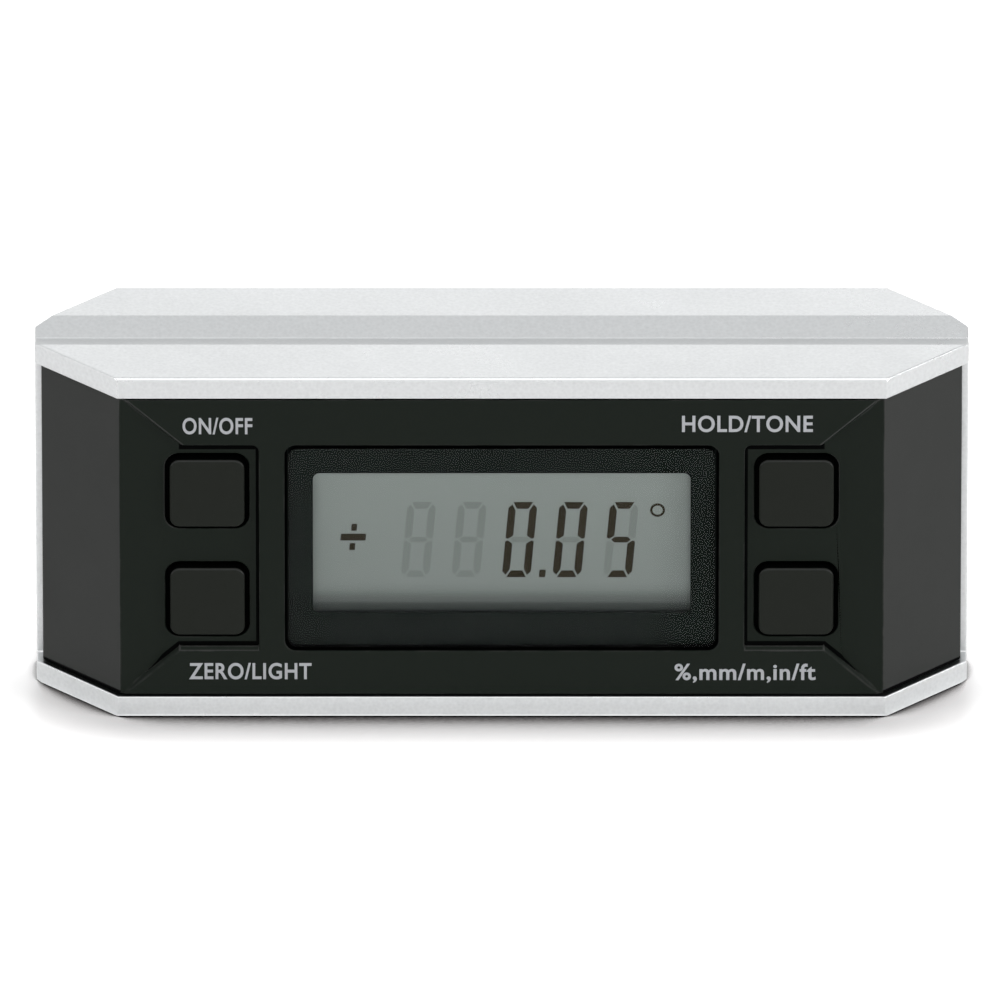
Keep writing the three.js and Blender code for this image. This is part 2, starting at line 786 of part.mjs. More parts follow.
function makeCrystal() {
  const z = middleZ - crystalDrop;
  const outline = roundedRectangle(chipX, z, crystalLength, crystalWidth, crystalWidth / 2);
  return prismY(outline, partBase, partBase + crystalHeight);
}

// Sensor and buzzer stand one above the other, between the wires and the board's end
const sensorX = (wireEndX - boardHalfWidth) / 2;

function makeTiltSensor() {
  const z = middleZ + sensorRise;
  const can = barY(sensorRadius, sensorX, z, [partBase, partBase + sensorHeight]);
  const capDepth = [partBase + sensorHeight / 2, partBase + sensorHeight + sensorCapHeight];
  return joined([can, barY(sensorCapRadius, sensorX, z, capDepth)]);
}

function makeBuzzer() {
  const z = middleZ - buzzerDrop;
  const top = partBase + buzzerHeight;
  const can = barY(buzzerRadius, sensorX, z, [partBase, top]);
  return cutBy(can, [barY(buzzerHoleRadius, sensorX, z, [partBase + buzzerHeight / 2, top + cutOverrun])]);
}

// One capacitor about the middle of its row
function makeCapacitor() {
  const x = [-capacitorLength / 2, capacitorLength / 2];
  return block(x, [partBase, partBase + capacitorHeight], [-capacitorWidth / 2, capacitorWidth / 2]);
}

// Buttons and switches, each about its own axis at the origin

function makeCap() {
  const side = capWidth;
  const flangeSide = side + 2 * (capGap + capFlange);
  const flangeFront = faceInner + capFlangeGap;
  const key = roundedRectangle(0, 0, side, side, capCornerRadius);
  const flange = roundedRectangle(0, 0, flangeSide, flangeSide, capCornerRadius);
  const flangeRear = flangeFront + capFlangeThickness;
  return joined([
    prismY(key, shellFront, flangeRear),
    prismY(flange, flangeFront, flangeRear),
    barY(capStemRadius, 0, 0, [flangeFront, plungerFront - plungerGap], smallRoundSteps),
  ]);
}

function makeSwitchBody() {
  const half = switchWidth / 2;
  const body = block([-half, half], [switchFront, boardFront - seatGap], [-half, half]);
  const depth = switchFront + plungerIn + buttonTravel + plungerGap;
  return cutBy(body, [barY(plungerRadius + plungerGap, 0, 0, [switchFront - cutOverrun, depth])]);
}

function makePlunger() {
  return barY(plungerRadius, 0, 0, [plungerFront, switchFront + plungerIn]);
}

// Batteries, contacts, springs and wires

function makeCell() {
  const canLength = cellLength - cellNubLength;
  const profile = [
    [0, 0],
    [cellRadius, 0],
    [cellRadius, canLength],
    [cellNubRadius, canLength],
    [cellNubRadius, cellLength],
    [0, cellLength],
  ];
  const lathe = new THREE.LatheGeometry(profile.map(([r, h]) => new THREE.Vector2(r, h)), roundSteps);
  return toSolid(lathe.rotateZ(-Math.PI / 2).translate(-cellLength / 2, 0, 0));
}

// One unbroken tube on a cone, its ends straight along the spring's axis
function springPath() {
  const wire = 2 * springWireRadius;
  const coilLength = springLength - 2 * wire;
  const steps = springCurls * springStepsPerCurl;
  const points = [new THREE.Vector3(0, springBaseRadius, 0)];
  for (let i = 0; i <= steps; i += 1) {
    const share = i / steps;
    const angle = 2 * Math.PI * springCurls * share;
    const radius = springBaseRadius + (springTipRadius - springBaseRadius) * share;
    const x = wire + coilLength * share;
    points.push(new THREE.Vector3(x, radius * Math.cos(angle), radius * Math.sin(angle)));
  }
  points.push(new THREE.Vector3(springLength, springTipRadius, 0));
  return points;
}

function sweptTube(points, radius, sides) {
  const positions = [];
  const indices = [];
  const last = points.length - 1;
  points.forEach((point, i) => {
    const ahead = points[Math.min(i + 1, last)];
    const behind = points[Math.max(i - 1, 0)];
    const tangent = ahead.clone().sub(behind).normalize();
    const outward = new THREE.Vector3(0, point.y, point.z).normalize();
    const first = outward.sub(tangent.clone().multiplyScalar(outward.dot(tangent))).normalize();
    const second = tangent.clone().cross(first);
    for (let k = 0; k < sides; k += 1) {
      const angle = 2 * Math.PI * k / sides;
      const spoke = first.clone().multiplyScalar(radius * Math.cos(angle));
      spoke.add(second.clone().multiplyScalar(radius * Math.sin(angle)));
      positions.push(point.x + spoke.x, point.y + spoke.y, point.z + spoke.z);
    }
    if (i === last) return;
    for (let k = 0; k < sides; k += 1) {
      const [a, b] = [i * sides + k, i * sides + (k + 1) % sides];
      indices.push(a, b, b + sides, a, b + sides, a + sides);
    }
  });
  for (let k = 1; k < sides - 1; k += 1) {
    indices.push(0, k + 1, k);
    indices.push(last * sides, last * sides + k, last * sides + k + 1);
  }
  const geometry = new THREE.BufferGeometry();
  geometry.setAttribute("position", new THREE.Float32BufferAttribute(positions, 3));
  geometry.setIndex(indices);
  return toSolid(geometry);
}

// Least distance between points of the path at least half a curl apart, less the wire
function leastGap(points) {
  const apart = springStepsPerCurl / 2;
  let least = Infinity;
  for (let i = 0; i < points.length; i += 1) {
    for (let j = i + apart; j < points.length; j += 1) {
      least = Math.min(least, points[i].distanceTo(points[j]) - 2 * springWireRadius);
    }
  }
  return least;
}

function makeSpring() {
  const points = springPath();
  console.log(`battery spring: least gap to itself ${leastGap(points).toFixed(2)} mm`);
  return sweptTube(points, springWireRadius, springSides);
}

const contactY = [bayFloor + contactInset, channelFloor - contactInset];

// A plate at one end of the bay, with a tab out through the bay's end wall
function makeTabbedContact(z) {
  const x = [bayNearX, bayNearX + contactThickness];
  const plate = block(x, contactY, [z - contactHalfWidth, z + contactHalfWidth]);
  const tab = block([tabEndX, x[1]], [tabY, tabY + contactThickness], [z - tabWidth / 2, z + tabWidth / 2]);
  return joined([plate, tab]);
}

function makeContactBridge() {
  return block([bayFarX - contactThickness, bayFarX], contactY, zAround(cellPitch / 2 + contactHalfWidth));
}

// From a contact's tab along X, round a bend, and square down to the board
function makeBatteryWire(z) {
  const y = tabY + contactThickness / 2;
  const start = new THREE.Vector3(tabEndX - contactGap, y, z);
  const bendStart = start.clone().add(new THREE.Vector3(-wireLead, 0, 0));
  const corner = new THREE.Vector3(wireEndX, y, z);
  const bendEnd = corner.clone().add(new THREE.Vector3(0, -wireBendRadius, 0));
  const end = new THREE.Vector3(corner.x, boardRear + solderGap, z);
  const path = new THREE.CurvePath();
  path.add(new THREE.LineCurve3(start, bendStart));
  path.add(new THREE.QuadraticBezierCurve3(bendStart, corner, bendEnd));
  path.add(new THREE.LineCurve3(bendEnd, end));
  const section = new THREE.Shape();
  section.absarc(0, 0, wireRadius, 0, 2 * Math.PI);
  return toSolid(new THREE.ExtrudeGeometry(section, {
    steps: wireSteps,
    extrudePath: path,
    curveSegments: wireSides,
    bevelEnabled: false,
  }));
}

// Screws: pan heads with a cross recess, heads towards the rear

function makeScrew(size) {
  const rim = size.headRadius * screwCrownShare;
  const profile = [
    [0, -size.length],
    [size.radius, -size.length + size.radius],
    [size.radius, 0],
    [size.headRadius, 0],
    [size.headRadius, size.headHeight / 2],
    [rim, size.headHeight],
    [0, size.headHeight],
  ].map(([r, h]) => new THREE.Vector2(r, h));
  const reach = size.headRadius * screwSlotShare;
  const slotY = [size.headHeight * (1 - screwSlotDepthShare), size.headHeight + cutOverrun];
  const narrow = [-screwSlotWidth / 2, screwSlotWidth / 2];
  const blank = toSolid(new THREE.LatheGeometry(profile, smallRoundSteps));
  return cutBy(blank, [
    block([-reach, reach], slotY, narrow),
    block(narrow, slotY, [-reach, reach]),
  ]);
}

function makeCaseScrew() {
  return makeScrew({
    radius: caseScrewRadius,
    length: caseScrewLength,
    headRadius: caseScrewHeadRadius,
    headHeight: caseScrewHeadHeight,
  });
}

function makeBoardScrew() {
  return makeScrew({
    radius: boardScrewRadius,
    length: boardScrewLength,
    headRadius: boardScrewHeadRadius,
    headHeight: boardScrewHeadHeight,
  });
}

// The scene: one named mesh for each piece, in groups as it is put together

function piece(name, solid, finish) {
  const mesh = new THREE.Mesh(toGeometry(solid), finish());
  mesh.name = name;
  return mesh;
}

// Copies of one solid, each with its own name and place
function addRow(parent, name, solid, finish, count, pitch, [x, z]) {
  for (let i = 0; i < count; i += 1) {
    const copy = piece(`${name}_${i + 1}`, solid, finish);
    copy.position.set(x + (i - (count - 1) / 2) * pitch, 0, z);
    parent.add(copy);
  }
}

function addScrews(parent, name, solid, places, seat) {
  for (const [x, z] of places) {
    const side = x < 0 ? "left" : "right";
    const row = z < middleZ ? "lower" : "upper";
    const screw = piece(`${name}_${side}_${row}`, solid, finishes.screw);
    screw.position.set(x, seat, z);
    parent.add(screw);
  }
}

function addButtons(parent) {
  const cap = makeCap();
  const body = makeSwitchBody();
  const plunger = makePlunger();
  for (const button of buttons) {
    const group = new THREE.Group();
    const [x, z] = buttonPlace(button);
    group.position.set(x, 0, z);
    group.add(piece(`${button.name}_button`, cap, finishes.cap));
    group.add(piece(`${button.name}_switch_plunger`, plunger, finishes.plunger));
    group.add(piece(`${button.name}_switch_body`, body, finishes.switchBody));
    parent.add(group);
  }
}

function addBatteries(parent) {
  const cell = makeCell();
  const spring = makeSpring();
  const middleX = (bayNearX + bayFarX) / 2;
  const shift = springLength / 2;
  const rows = [
    { name: "upper", row: 1, plusSide: -1 },
    { name: "lower", row: -1, plusSide: 1 },
  ];
  for (const { name, row, plusSide } of rows) {
    const z = middleZ + row * cellPitch / 2;
    const battery = piece(`battery_${name}`, cell, finishes.cell);
    battery.position.set(middleX + plusSide * shift, cellAxisY, z);
    if (plusSide < 0) battery.rotation.y = Math.PI;
    parent.add(battery);
    const coil = piece(`battery_spring_${name}`, spring, finishes.nickel);
    const contactX = plusSide < 0 ? bayFarX - contactThickness : bayNearX + contactThickness;
    coil.position.set(contactX, cellAxisY, z);
    if (plusSide < 0) coil.rotation.y = Math.PI;
    parent.add(coil);
  }
  const upperZ = middleZ + cellPitch / 2;
  const lowerZ = middleZ - cellPitch / 2;
  parent.add(piece("battery_contact_positive", makeTabbedContact(upperZ), finishes.nickel));
  parent.add(piece("battery_contact_negative", makeTabbedContact(lowerZ), finishes.nickel));
  parent.add(piece("battery_contact_bridge", makeContactBridge(), finishes.nickel));
  parent.add(piece("battery_wire_positive", makeBatteryWire(upperZ), finishes.redWire));
  parent.add(piece("battery_wire_negative", makeBatteryWire(lowerZ), finishes.blackWire));
}

const inclinometer = new THREE.Group();

const casing = new THREE.Group();
casing.add(piece("frame", makeFrame(), finishes.aluminium));
casing.add(piece("front_housing", makeFrontHousing(), finishes.shell));
casing.add(piece("rear_cover", makeRearCover(), finishes.shell));
casing.add(piece("battery_door", makeBatteryDoor(), finishes.shell));
addScrews(casing, "case_screw", makeCaseScrew(), casePlaces, counterboreFloor + seatGap);

const display = new THREE.Group();
display.add(piece("display_window", makeWindow(), finishes.lens));
display.add(piece("window_mask", makeWindowMask(), finishes.mask));
display.add(piece("lcd_panel", makeDisplay(), finishes.display));
display.add(piece("backlight_diffuser", makeDiffuser(), finishes.diffuser));
display.add(piece("lcd_holder", makeHolder(), finishes.holder));
display.add(piece("lcd_contact_strip", makeContactStrip(), finishes.strip));
const ledRow = [ledCount, windowWidth * ledPitchShare, [0, windowZ]];
addRow(display, "backlight_led", makeLed(), finishes.led, ...ledRow);

const electronics = new THREE.Group();
electronics.add(piece("main_board", makeBoard(), finishes.board));
addScrews(electronics, "board_screw", makeBoardScrew(), boardPlaces, boardRear + seatGap);
electronics.add(piece("microcontroller", makeChip(), finishes.chip));
electronics.add(piece("crystal", makeCrystal(), finishes.tin));
electronics.add(piece("tilt_sensor", makeTiltSensor(), finishes.tin));
electronics.add(piece("buzzer", makeBuzzer(), finishes.chip));
const capacitorRow = [capacitorCount, capacitorPitch, [chipX, middleZ + capacitorRise]];
addRow(electronics, "capacitor", makeCapacitor(), finishes.tin, ...capacitorRow);

const controls = new THREE.Group();
addButtons(controls);

const power = new THREE.Group();
addBatteries(power);

inclinometer.add(casing, display, electronics, controls, power);

export default inclinometer;
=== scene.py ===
"""Digital inclinometer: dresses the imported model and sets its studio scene."""

import json
import math

import bmesh
import bpy
import numpy as np
from bpy.props import FloatProperty, FloatVectorProperty, IntProperty, PointerProperty, StringProperty
from bpy.types import Operator, Panel, PropertyGroup
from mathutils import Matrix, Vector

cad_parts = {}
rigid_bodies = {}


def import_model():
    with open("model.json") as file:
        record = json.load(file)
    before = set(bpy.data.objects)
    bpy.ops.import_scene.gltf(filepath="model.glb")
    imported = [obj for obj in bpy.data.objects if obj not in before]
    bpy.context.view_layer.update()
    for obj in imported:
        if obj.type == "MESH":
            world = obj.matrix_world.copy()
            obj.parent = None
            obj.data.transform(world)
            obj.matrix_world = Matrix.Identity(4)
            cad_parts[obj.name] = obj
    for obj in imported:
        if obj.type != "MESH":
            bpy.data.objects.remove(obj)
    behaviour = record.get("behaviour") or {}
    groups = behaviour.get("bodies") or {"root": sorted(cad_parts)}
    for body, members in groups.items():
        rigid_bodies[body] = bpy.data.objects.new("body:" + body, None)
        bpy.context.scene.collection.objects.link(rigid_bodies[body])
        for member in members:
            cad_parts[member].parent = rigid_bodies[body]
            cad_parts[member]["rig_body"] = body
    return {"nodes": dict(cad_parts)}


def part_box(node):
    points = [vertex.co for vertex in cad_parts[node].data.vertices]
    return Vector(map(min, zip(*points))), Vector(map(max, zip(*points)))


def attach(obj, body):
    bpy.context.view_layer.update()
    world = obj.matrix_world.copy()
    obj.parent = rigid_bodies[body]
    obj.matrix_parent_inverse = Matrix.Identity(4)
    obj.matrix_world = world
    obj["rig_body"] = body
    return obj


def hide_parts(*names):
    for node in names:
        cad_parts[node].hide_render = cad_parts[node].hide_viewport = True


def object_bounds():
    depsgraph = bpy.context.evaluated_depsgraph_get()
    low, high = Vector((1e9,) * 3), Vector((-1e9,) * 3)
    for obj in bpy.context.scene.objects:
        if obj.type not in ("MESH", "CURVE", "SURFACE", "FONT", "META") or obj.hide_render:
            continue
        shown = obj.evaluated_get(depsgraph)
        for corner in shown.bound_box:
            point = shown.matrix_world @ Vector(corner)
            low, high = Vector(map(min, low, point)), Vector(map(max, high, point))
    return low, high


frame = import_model()
cad_box = [list(corner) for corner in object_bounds()]

bl_info = {
    "name": "Digital inclinometer",
    "version": (1, 0, 0),
    "blender": (4, 5, 0),
    "location": "View3D > Sidebar > Inclinometer",
    "description": "Finishes a digital inclinometer piece by piece and lights it",
    "category": "Object",
}

MILLIMETRE = 0.001
BUTTONS = ("power", "zero", "hold", "unit")
DUST = (0.45, 0.44, 0.42)

# A slanted side has at least this share of X in its direction and begins this many millimetres out along X
SLANT, SLANT_START = 0.35, 61


# Sizes and colours that a user would change


def length(name, description, millimetres):
    """A length given in millimetres and kept in metres."""
    return FloatProperty(
        name=name,
        description=description,
        default=millimetres * MILLIMETRE,
        precision=5,
        subtype="DISTANCE",
        unit="LENGTH",
    )


def angle(name, description, degrees):
    return FloatProperty(
        name=name, description=description, default=math.radians(degrees), subtype="ANGLE", unit="ROTATION"
    )


def share(name, description, default):
    return FloatProperty(name=name, description=description, default=default, min=0, max=1, subtype="FACTOR")


def words(name, description, default):
    return StringProperty(name=name, description=description, default=default)


def colour(name, description, default):
    return FloatVectorProperty(
        name=name, description=description, default=default, size=3, min=0, max=1, subtype="COLOR"
    )


class FrameLook(PropertyGroup):
    edge_radius: length("Edge radius", "Rounding of the machined edges", 0.22)
    metal: colour("Metal", "Colour of the satin aluminium", (0.677, 0.69, 0.695))
    # The grooves' darker colour is painted shade on their walls
    groove: colour("Groove", "Colour of the grooves' ground walls", (0.6, 0.612, 0.617))
    roughness: share("Roughness", "Roughness of the blasted surface", 0.3)
    grain: length("Grain", "Size of the blasted grain", 0.6)


class HousingLook(PropertyGroup):
    edge_radius: length("Edge radius", "Rounding of the moulded edges", 0.18)
    face: colour("Face", "Colour of the faces at the front and the back", (0.003, 0.0058, 0.0034))
    # The sides are a lighter copy of the face plastic, made glossier in make_housings: painted light
    side: colour("Sides", "Colour of the slanted sides", (0.0045, 0.0058, 0.0045))
    worn: colour("Worn plastic", "Colour where handling has polished an edge", (0.03, 0.031, 0.029))
    roughness: share("Roughness", "Roughness of the housing", 0.5)
    grain: length("Grain", "Size of the moulded texture", 0.16)
    recess_floor: length("Recess floor", "Depth of the key recess's floor, along Y", -14.9)
    recess_top: length("Recess top", "Height of the key recess's upper wall", 48.8)
    recess_knee: length("Recess knee", "Distance along X at which the upper wall turns outwards", 51.8)
    # The groove, the upper strip and the foot line are painted shade: their faces take the near-black plastic
    groove: length("Groove", "Width of the shadow groove round the key recess", 0.5)
    top_shade_width: length("Upper groove", "Width of the shaded strip under the recess's upper wall", 1.25)
    foot_shade_line: length("Foot line", "Height of the dark line along the foot of the slanted sides", 0.55)


class ButtonLook(PropertyGroup):
    edge_radius: length("Edge radius", "Rounding of the caps' front edge", 0.35)
    crown: length("Crown", "How far the middle of a cap stands above its edge", 0.12)
    plastic: colour("Plastic", "Colour of the caps", (0.0075, 0.0092, 0.0068))
    roughness: share("Roughness", "Roughness of the caps", 0.5)


class DisplayLook(PropertyGroup):
    reading: words("Reading", "Figures shown, from the first place", "  0.05")
    digit_width: length("Digit width", "Width of one figure", 4.6)
    digit_height: length("Digit height", "Height of one figure", 13.5)
    pitch: length("Pitch", "Distance from one figure to the next", 8.12)
    stroke: length("Stroke", "Thickness of a segment", 1.2)
    slant: angle("Slant", "Lean of the figures", 5)
    places: IntProperty(name="Places", description="Number of figures", default=5, min=1)
    # Window foot and side place the display's painted shade, and shade is its colour
    window_foot: length("Window foot", "Height of the border's lower edge as the eye meets it", 17.65)
    window_side: length("Window side", "Half the width of the opening in the border", 30.3)
    glass: colour("Glass", "Colour of the idle display", (0.2225, 0.246, 0.236))
    shade: colour("Shade", "Colour of the display's shaded border", (0.054, 0.062, 0.059))
    lit: colour("Lit segment", "Colour of a segment that shows", (0.016, 0.012, 0.006))
    idle: colour("Idle segment", "Colour of a segment at rest", (0.172, 0.19, 0.182))


class LegendLook(PropertyGroup):
    upper_left: words("Upper left", "Legend of the first button", "ON/OFF")
    lower_left: words("Lower left", "Legend of the second button", "ZERO/LIGHT")
    upper_right: words("Upper right", "Legend of the third button", "HOLD/TONE")
    lower_right: words("Lower right", "Legend of the fourth button", "%,mm/m,in/ft")
    height: length("Height", "Height of a capital letter", 2.95)
    weight: FloatProperty(name="Weight", description="How much each letter is fattened", default=0.02)
    ink: colour("Ink", "Colour of the printed letters", (0.40, 0.41, 0.43))


class FastenerLook(PropertyGroup):
    thread_pitch: length("Thread pitch", "Advance of the thread in one turn", 0.55)
    thread_depth: length("Thread depth", "Depth of the thread", 0.16)
    steel: colour("Steel", "Colour of the blackened screws", (0.10, 0.10, 0.105))


class PowerLook(PropertyGroup):
    jacket: colour("Jacket", "Colour of the cells' sleeves", (0.05, 0.105, 0.19))
    band: colour("Band", "Colour of the band at the positive end", (0.55, 0.56, 0.57))
    curls: IntProperty(name="Curls", description="Turns of each contact spring", default=4, min=1)
    spring_wire: length("Spring wire", "Radius of the spring's wire", 0.25)
    lead_wire: length("Lead", "Radius of the insulated leads", 0.6)


class StageLook(PropertyGroup):
    distance: length("Distance", "From the lens to the front face", 6000)
    pitch: angle("Pitch", "How far the camera looks down", 27)
    target_height: length("Target height", "Height of the picture's middle on the front face", 39.23)
    target_side: length("Target side", "Offset of the picture's middle along X", -0.28)
    focal: FloatProperty(name="Focal length", description="Of the lens", default=1345.7, unit="CAMERA")
    floor: colour("Floor", "Colour of the floor", (0.85, 0.845, 0.845))
    floor_size: length("Floor size", "Side of the square floor", 12000)


def looks():
    return bpy.context.scene.inclinometer


# Surfaces as whole arrays


def linked(name, data):
    """A new object in the scene, at the origin."""
    made = bpy.data.objects.new(name, data)
    bpy.context.scene.collection.objects.link(made)
    return made


def recalculated(mesh):
    """Turns every face of a mesh outwards."""
    shell = bmesh.new()
    shell.from_mesh(mesh)
    bmesh.ops.recalc_face_normals(shell, faces=shell.faces)
    shell.to_mesh(mesh)
    shell.free()


def new_piece(name, vertices, faces, crease=38):
    """A piece from an array of points and lists of corners, smooth up to the crease in degrees."""
    mesh = bpy.data.meshes.new(name)
    mesh.from_pydata(vertices.reshape(-1, 3).tolist(), [], faces)
    recalculated(mesh)
    mesh.shade_smooth()
    mesh.set_sharp_from_angle(angle=math.radians(crease))
    return linked(name, mesh)


def skin(rings, closed=False):
    """Corners of a skin over a stack of loops: four-cornered faces between neighbours, and a lid on each end.

    With closed set, the last loop joins the first and there are no lids.
    """
    count, points = rings.shape[:2]
    index = np.arange(count * points).reshape(count, points)
    low = index if closed else index[:-1]
    high = np.roll(index, -1, axis=0) if closed else index[1:]
    sides = np.stack([low, np.roll(low, -1, axis=1), np.roll(high, -1, axis=1), high], axis=-1)
    faces = sides.reshape(-1, 4).tolist()
    if not closed:
        faces += [index[0, ::-1].tolist(), index[-1].tolist()]
    return faces


def rounded_loop(half_width, half_height, radius, steps=10):
    """Rounded rectangle in X and Z: four quarter arcs about the corner centres, joined by straight sides."""
    angle = (np.arange(4)[:, None] * np.pi / 2 + np.linspace(0, np.pi / 2, steps + 1)).ravel()
    corner_x = np.repeat([1, -1, -1, 1], steps + 1) * (half_width - radius)
    corner_z = np.repeat([1, 1, -1, -1], steps + 1) * (half_height - radius)
    return corner_x + radius * np.cos(angle), corner_z + radius * np.sin(angle)


def rounded_stack(centre, half_width, half_height, radius, insets, depths):
    """Loops of one rounded rectangle, each drawn in by its inset and set at its depth along Y."""
    rings = []
    for inset, depth in zip(insets, depths):
        corner = max(radius - inset, 0.05 * MILLIMETRE)
        x, z = rounded_loop(half_width - inset, half_height - inset, corner)
        rings.append(np.stack([centre[0] + x, np.full_like(x, depth), centre[2] + z], axis=-1))
    return np.array(rings)


def quarter(radius, steps):
    """Points of an edge rounded by a quarter circle, as two arrays: how far in and how far down each lies."""
    angle = np.linspace(0, np.pi / 2, steps + 1)
    return radius * (1 - np.cos(angle)), radius * (1 - np.sin(angle))


def turned_rings(radii, heights, sides=64):
    """Surface of revolution: each radius of the profile goes once round the axis at its height."""
    angle = np.linspace(0, 2 * np.pi, sides, endpoint=False)
    radii, heights = np.asarray(radii, float), np.asarray(heights, float)
    across = radii[:, None] * np.cos(angle)
    up = radii[:, None] * np.sin(angle)
    return np.stack([across, np.broadcast_to(heights[:, None], across.shape), up], axis=-1)


def tube_rings(path, spokes, radius, sides):
    """Tube: at each point of the path a circle in the plane across its tangent, started at the spoke."""
    tangent = np.gradient(path, axis=0)
    tangent /= np.linalg.norm(tangent, axis=1, keepdims=True)
    first = spokes - (spokes * tangent).sum(axis=1, keepdims=True) * tangent
    first /= np.linalg.norm(first, axis=1, keepdims=True)
    second = np.cross(tangent, first)
    angle = np.linspace(0, 2 * np.pi, sides, endpoint=False)[None, :, None]
    return path[:, None] + radius * (first[:, None] * np.cos(angle) + second[:, None] * np.sin(angle))


def prisms(outlines, front, rear):
    """Flat outlines in X and Z, each carried straight back from the front depth to the rear depth."""
    count, points = outlines.shape[:2]
    vertices = np.empty((count, 2, points, 3))
    vertices[..., 0] = outlines[:, None, :, 0]
    vertices[..., 2] = outlines[:, None, :, 1]
    vertices[:, 0, :, 1] = front
    vertices[:, 1, :, 1] = rear
    index = np.arange(count * 2 * points).reshape(count, 2, points)
    near, far = index[:, 0], index[:, 1]
    sides = np.stack([near, far, np.roll(far, -1, axis=1), np.roll(near, -1, axis=1)], axis=-1)
    return vertices, near.tolist() + far[:, ::-1].tolist() + sides.reshape(-1, 4).tolist()


def middle(node_name):
    low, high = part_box(node_name)
    return np.array((low + high) / 2)


def size(node_name):
    low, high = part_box(node_name)
    return np.array(high - low)


def placed(piece, body, slot, material, *nodes):
    """Gives a finished piece its material and its body, and hides the nodes that it stands for. The slot is
    not used.
    """
    if not piece.data.materials:
        piece.data.materials.append(material)
    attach(piece, body)
    if nodes:
        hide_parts(*nodes)
    return piece


def wrapped(name, rings, body, slot, material, *nodes, crease=38):
    """A placed piece whose skin runs over a stack of loops."""
    return placed(new_piece(name, rings, skin(rings), crease), body, slot, material, *nodes)


def face_arrays(mesh):
    """Normals and centres of a mesh's faces."""
    normals, centres = np.empty((2, len(mesh.polygons), 3))
    mesh.polygons.foreach_get("normal", normals.ravel())
    mesh.polygons.foreach_get("center", centres.ravel())
    return normals, centres


def sort_faces(piece, kinds, *others):
    """Adds further materials and gives each face the one of its kind, counted from 0."""
    for material in others:
        piece.data.materials.append(material)
    piece.data.polygons.foreach_set("material_index", np.asarray(kinds).astype(np.int32))


def between(values, bounds):
    return (values > bounds[0]) & (values < bounds[1])


def dress(node_name, material):
    """Puts one material on a node that keeps its own shape."""
    mesh = frame["nodes"][node_name].data
    mesh.materials.clear()
    mesh.materials.append(material)


def turn(edge):
    """How far an edge turns, below 0 where it is an inner corner."""
    return edge.calc_face_angle_signed() if edge.is_manifold else 0.0


def softened(source, name, radius, steps=2, lips=False, groove=None, shade=None):
    """A node's shape with rounded edges.

    Its triangles are merged into flat faces. Edges that turn more than 20 degrees are cut back by the
    radius and bridged by an arc, whose faces carry 1 in the edge attribute. Shallow lips, which turn more
    than 8 degrees, lose a third of the radius where asked. A groove is cut before that and strips of
    painted shade are marked after it; both carry -1, the mark for the near-black painted shade.
    """
    shell = bmesh.new()
    shell.from_mesh(frame["nodes"][source].data)
    bmesh.ops.remove_doubles(shell, verts=shell.verts, dist=0.002 * MILLIMETRE)
    bmesh.ops.dissolve_limit(shell, angle_limit=math.radians(0.3), verts=shell.verts, edges=shell.edges)
    layer = shell.faces.layers.float.new("edge")
    if groove is not None:
        groove(shell, layer)
    lip, edge_turn = 8, 20
    rounds = [(edge_turn, 180, radius, steps)]
    if lips:
        rounds.insert(0, (lip, edge_turn, radius / 3, 1))
    for least, most, width, count in rounds:
        sharp = [
            edge
            for edge in shell.edges
            if math.radians(least) < abs(turn(edge)) <= math.radians(most)
            and not any(face[layer] for face in edge.link_faces)
        ]
        rounded = bmesh.ops.bevel(
            shell, geom=sharp, offset=width, segments=count, profile=0.5, affect="EDGES", clamp_overlap=False
        )
        if least == edge_turn:
            for face in rounded["faces"]:
                face[layer] = max(face[layer], 1)
    for face in shell.faces:
        face.smooth = True
    if shade is not None:
        shade(shell, layer)
    mesh = bpy.data.meshes.new(name)
    shell.to_mesh(mesh)
    shell.free()
    if "custom_normal" in mesh.attributes:
        mesh.attributes.remove(mesh.attributes["custom_normal"])
    piece = linked(name, mesh)
    piece.modifiers.new("Even shading", "WEIGHTED_NORMAL").weight = 80
    return piece


def on_recess_floor(point):
    return abs(point.y - looks().housing.recess_floor) < 0.02 * MILLIMETRE


def recess_shade_groove(shell, layer):
    """Rounded groove along the inner and lower corners of the key recesses' floor; its faces carry -1, the
    mark for the near-black painted shade.
    """
    look = looks().housing
    lower = [
        edge
        for edge in shell.edges
        if turn(edge) < -math.radians(20)
        and all(on_recess_floor(v.co) and v.co.z < look.recess_top - 0.01 * MILLIMETRE for v in edge.verts)
    ]
    painted_shade = bmesh.ops.bevel(shell, geom=lower, offset=look.groove, segments=2, profile=0.5, affect="EDGES")
    for face in painted_shade["faces"]:
        face[layer] = -1


def cut(shell, chosen, point, normal):
    """Cuts the chosen faces along a plane."""
    faces = [face for face in shell.faces if chosen(face)]
    edges = {edge for face in faces for edge in face.edges}
    corners = {corner for face in faces for corner in face.verts}
    parts = [*faces, *edges, *corners]
    bmesh.ops.bisect_plane(shell, geom=parts, dist=0.0001 * MILLIMETRE, plane_co=point, plane_no=normal)


